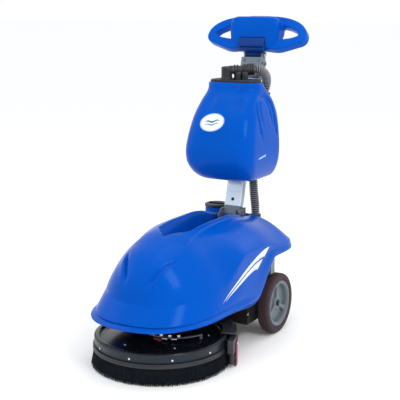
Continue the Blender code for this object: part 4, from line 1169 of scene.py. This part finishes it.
DECK_COVER = [(0.0402, 0.1052), (0.07, 0.1035), (0.1, 0.1005), (0.13, 0.0955), (0.158, 0.0885),
              (0.172, 0.0848), (0.179, 0.0838), (0.1828, 0.0852), (0.185, 0.089), (0.1872, 0.0922),
              (0.1902, 0.0932), (0.1945, 0.0928), (0.1972, 0.0915), (0.1984, 0.089), (0.1984, 0.0505),
              (0.1955, 0.0505), (0.1955, 0.088), (0.19, 0.0895), (0.183, 0.0795), (0.15, 0.0862),
              (0.085, 0.0982), (0.0402, 0.1012)]
CLAMP_STRIP = [(0.1987, 0.0903), (0.2012, 0.0903), (0.202, 0.0893), (0.202, 0.0655), (0.2014, 0.0645),
               (0.1987, 0.0645)]
SKIRT_CLAMP = [(0.1987, 0.0636), (0.205, 0.0636), (0.2064, 0.0622), (0.2058, 0.0595), (0.2046, 0.058),
               (0.2056, 0.056), (0.2066, 0.054), (0.2062, 0.0508), (0.1987, 0.0508)]
TUFTS_PER_ROW = 330
TUFT_TOP_Z = 0.0502
GUIDE_CENTRE = DECK + Vector((0.04, 0.03, 0.0))


def add_tuft(shape, row, number):
    """One outer tuft, thinner towards its tip and a little out of line."""
    angle = math.tau * (number + 0.5 * row + RANDOM.uniform(-0.25, 0.25)) / TUFTS_PER_ROW
    lean = RANDOM.uniform(-0.007, 0.007)
    tip_z = RANDOM.choice((0.0, 0.0006, 0.0012, 0.002, 0.0034))
    top_radius = 0.2028 + 0.0016 * row
    tip_radius = 0.2095 + 0.0028 * row + RANDOM.uniform(-0.0016, 0.0004)
    rings = []
    for t in (0.0, 0.35, 0.7, 1.0):
        turn = angle + lean * t * t
        middle = polar(top_radius + (tip_radius - top_radius) * t**1.5, turn,
                       TUFT_TOP_Z + (tip_z - TUFT_TOP_Z) * t)
        out = polar(0.0007 * (1 - 0.4 * t) + 0.0001, turn)
        side = polar(0.00085 * (1 - 0.45 * t) + 0.0002, turn + math.pi / 2)
        rings.append([middle + side, middle + out, middle - side, middle - out])
    add_rings(shape, rings)


def build_bristles():
    skirt = bmesh.new()
    add_turned(skirt, [(0.1966, 0.05), (0.2016, 0.05), (0.207, 0.007), (0.203, 0.007)], 96)
    for row in (0, 1):
        for number in range(TUFTS_PER_ROW):
            add_tuft(skirt, row, number)
    add_piece("skirt_bristles", skirt, "deck", "bristle", "bristle_skirt", at=DECK_FRAME, angle=180.0)

    disc = bmesh.new()
    for number, radius in enumerate((0.092, 0.108, 0.124, 0.14, 0.156, 0.172)):
        count = int(radius * 340)
        for i in range(count):
            angle = math.tau * (i + 0.5 * (number % 2)) / count
            lean = RANDOM.uniform(-0.0025, 0.0025)
            top = polar(radius, angle, 0.0462)
            foot = polar(radius, angle, 0.0004) + Vector((lean, lean, 0))
            sections = ((top, 0.0034), (top.lerp(foot, 0.5), 0.004), (foot, 0.0048))
            add_rings(disc, [[point + polar(size, k * math.tau / 7) for k in range(7)]
                             for point, size in sections])
    add_piece("disc_bristles", disc, "brush", "bristle", "brush_bristles", at=DECK_FRAME, angle=60.0)


def build_deck():
    add_turned_piece("deck_cover", DECK_COVER, 160, DECK_FRAME, "deck", "deck_black", "deck_housing",
                     angle=50.0)
    add_turned_piece("clamp_strip", CLAMP_STRIP, 160, DECK_FRAME, "deck", "band_grey", "clamp_band")
    add_turned_piece("skirt_clamp", SKIRT_CLAMP, 160, DECK_FRAME, "deck", "black_plastic", "skirt_holder")
    screws = bmesh.new()
    add_screw_circle(screws, DECK, 0.2018, 0.0745, [-84.5 + 36 * i for i in range(10)], True, 0.0036, 0.0022)
    add_screw_circle(screws, DECK, 0.15, 0.0902, [-102 + 60 * i for i in range(6)], False, 0.0034, 0.002)
    add_piece("deck_screws", screws, "deck", "bright_steel")
    build_bristles()


def build_guide_details():
    """Fittings on the guide bar over the deck, and the red release tab beside it."""
    bright = bmesh.new()
    add_screw_circle(bright, GUIDE_CENTRE, 0.108, 0.112, (262, 276, 290, 304), False, 0.0048, 0.0056, True)
    for degrees in (283, 297):
        out = polar(1.0, math.radians(degrees))
        along = Vector((-out.y, out.x, 0))
        place = GUIDE_CENTRE + out * 0.1145 + Vector((0, 0, 0.1065)) - along * 0.008
        add_turned(bright, [(0.0005, 0.0), (0.0032, 0.0), (0.004, 0.0012), (0.004, 0.0148),
                            (0.0032, 0.016), (0.0005, 0.016)], 18, aim(place, along), False)
    add_piece("guide_fittings", bright, "deck", "bright_steel")
    red = bmesh.new()
    tab = aim(GUIDE_CENTRE + polar(0.1165, math.radians(272), 0.102), (0.95, -0.18, 0.05))
    add_box(red, (-0.0035, -0.006, -0.016), (0.0035, 0.003, 0.012), 0.0016, 3, tab)
    add_piece("release_tab", red, "deck", "red_plastic")


def build_squeegee():
    bright = bmesh.new()
    add_screw_circle(bright, DECK, 0.2366, 0.0655, (22, 50, 78, 104, 130, 158), True, 0.0034, 0.002)
    add_piece("squeegee_bolts", bright, "squeegee", "bright_steel")


# ---------------------------------------------------------------- wheels


def tyre_profile():
    """A rounded tread with three grooves, from the outer bead to the inner one."""
    shoulder = [(0.0768, 0.0172), (0.08, 0.019), (0.085, 0.0196), (0.0905, 0.0197), (0.0945, 0.019),
                (0.0972, 0.0172), (0.0988, 0.0146), (0.0996, 0.011)]
    tread = []
    for groove in (0.0072, 0.0, -0.0072):
        tread += [(0.1, groove + 0.0016), (0.099, groove + 0.0008), (0.099, groove - 0.0008),
                  (0.1, groove - 0.0016)]
    return shoulder + tread + [(radius, -z) for radius, z in reversed(shoulder)]


def build_wheel(side, word):
    low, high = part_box(f"tyre_{word}")
    middle = (low + high) / 2
    outward = aim(middle, (side, 0, 0))
    wheel = f"wheel_{word}"
    add_turned_piece(f"tyre_tread_{word}", tyre_profile(), 120, outward, wheel, "tyre_rubber",
                     f"tyre_{word}", angle=40.0)

    rim = bmesh.new()
    edge = [(0.064, 0.0128), (0.0655, 0.0152), (0.069, 0.0168), (0.0725, 0.018), (0.0755, 0.0178),
            (0.0763, 0.016), (0.0763, -0.0168), (0.07, -0.0168), (0.064, -0.01)]
    web = [(0.018, 0.003), (0.066, 0.001), (0.066, -0.004), (0.018, -0.006)]
    hub = [(0.0106, 0.011), (0.019, 0.011), (0.0215, 0.0095), (0.0235, 0.006), (0.024, -0.016),
           (0.0106, -0.016)]
    for profile, steps in ((edge, 96), (web, 72), (hub, 48)):
        add_turned(rim, profile, steps, outward)
    for i in range(3):
        spin = outward @ Matrix.Rotation(math.radians(90 + 120 * i), 4, "Z")
        rings = []
        for radius, half, top in ((0.019, 0.0085, 0.01), (0.032, 0.0062, 0.0092),
                                  (0.047, 0.0062, 0.0096), (0.058, 0.0085, 0.0112),
                                  (0.066, 0.0135, 0.0128)):
            section = ((-half, 0.0), (-half, top - 0.002), (-half * 0.72, top), (half * 0.72, top),
                       (half, top - 0.002), (half, 0.0))
            rings.append([spin @ Vector((radius, y, z)) for y, z in section])
        add_rings(rim, rings)
    add_piece(f"wheel_disc_{word}", rim, wheel, "rim_grey", f"wheel_rim_{word}")

    cap = bmesh.new()
    centre = middle + Vector((side * 0.0105, 0, 0))
    add_turned(cap, [(0.0004, 0.0), (0.0125, 0.0), (0.0125, 0.0012), (0.0004, 0.0012)], 28,
               aim(centre, (side, 0, 0)), False)
    add_screw(cap, centre, (side, 0, 0), 0.0085, 0.006, True)
    add_piece(f"wheel_bolt_{word}", cap, wheel, "motor_paint")


# ---------------------------------------------------------------- small fittings


def build_filler():
    low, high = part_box("filler_cap")
    top = Vector(((low.x + high.x) / 2, (low.y + high.y) / 2, 0.0))
    steps, rib_depth = 96, 0.0007
    profile = ((0.0005, 0.3815, 0), (0.0326, 0.3815, 0), (0.033, 0.3796, 0), (0.0418, 0.3796, 1),
               (0.0422, 0.3803, 1), (0.0422, 0.3855, 1), (0.0412, 0.3871, 0), (0.038, 0.3884, 0),
               (0.033, 0.389, 0), (0.031, 0.3878, 0), (0.0005, 0.3878, 0))
    shape = bmesh.new()
    add_rings(shape, [[top + polar(radius - rib_depth * (i % 4 < 2) * knurled, math.tau * i / steps, height)
                       for i in range(steps)] for radius, height, knurled in profile])
    add_box(shape, top + Vector((-0.029, -0.005, 0.387)), top + Vector((0.029, 0.005, 0.3925)), 0.0018, 3)
    add_piece("filler_lid", shape, "filler_cap_body", "black_plastic", "filler_cap", angle=40.0)
    neck = [(0.0285, 0.3808), (0.0318, 0.3808), (0.032, 0.38), (0.032, 0.3786), (0.0398, 0.3784),
            (0.0403, 0.3776), (0.0403, 0.326), (0.0415, 0.3245), (0.0415, 0.3055), (0.0285, 0.3055)]
    add_turned_piece("filler_spout", neck, 72, Matrix.Translation(top), "chassis", "blue_plastic",
                     "filler_neck", angle=40.0)


def build_tongue():
    """The latch tongue under the hood's nose and the bolts along the tray."""
    shape = bmesh.new()
    add_box(shape, DECK + Vector((-0.135, -0.104, 0.124)), DECK + Vector((-0.075, -0.088, 0.16)), 0.004, 3)
    add_piece("nose_tongue", shape, "chassis", "blue_plastic")
    bright = bmesh.new()
    for side in (1, -1):
        for x, y, z, radius, height in ((0.16, 0.275, 0.095, 0.0045, 0.0036),
                                        (0.16, 0.5, 0.095, 0.0045, 0.0036),
                                        (0.1635, 0.392, 0.185, 0.004, 0.003)):
            add_screw(bright, DECK + Vector((side * x, y, z)), (side, 0, 0), radius, height, True)
    add_piece("tray_bolts", bright, "chassis", "bright_steel")


# ---------------------------------------------------------------- everything

build_stage()
dress_frame()
build_stripes(build_hood())
build_tank()
build_lid()
build_elbow()
build_grip()
build_boss()
build_dash()
build_mast()
build_hose()
build_deck()
build_guide_details()
build_squeegee()
for wheel_side, wheel_word in SIDES:
    build_wheel(wheel_side, wheel_word)
build_filler()
build_tongue()
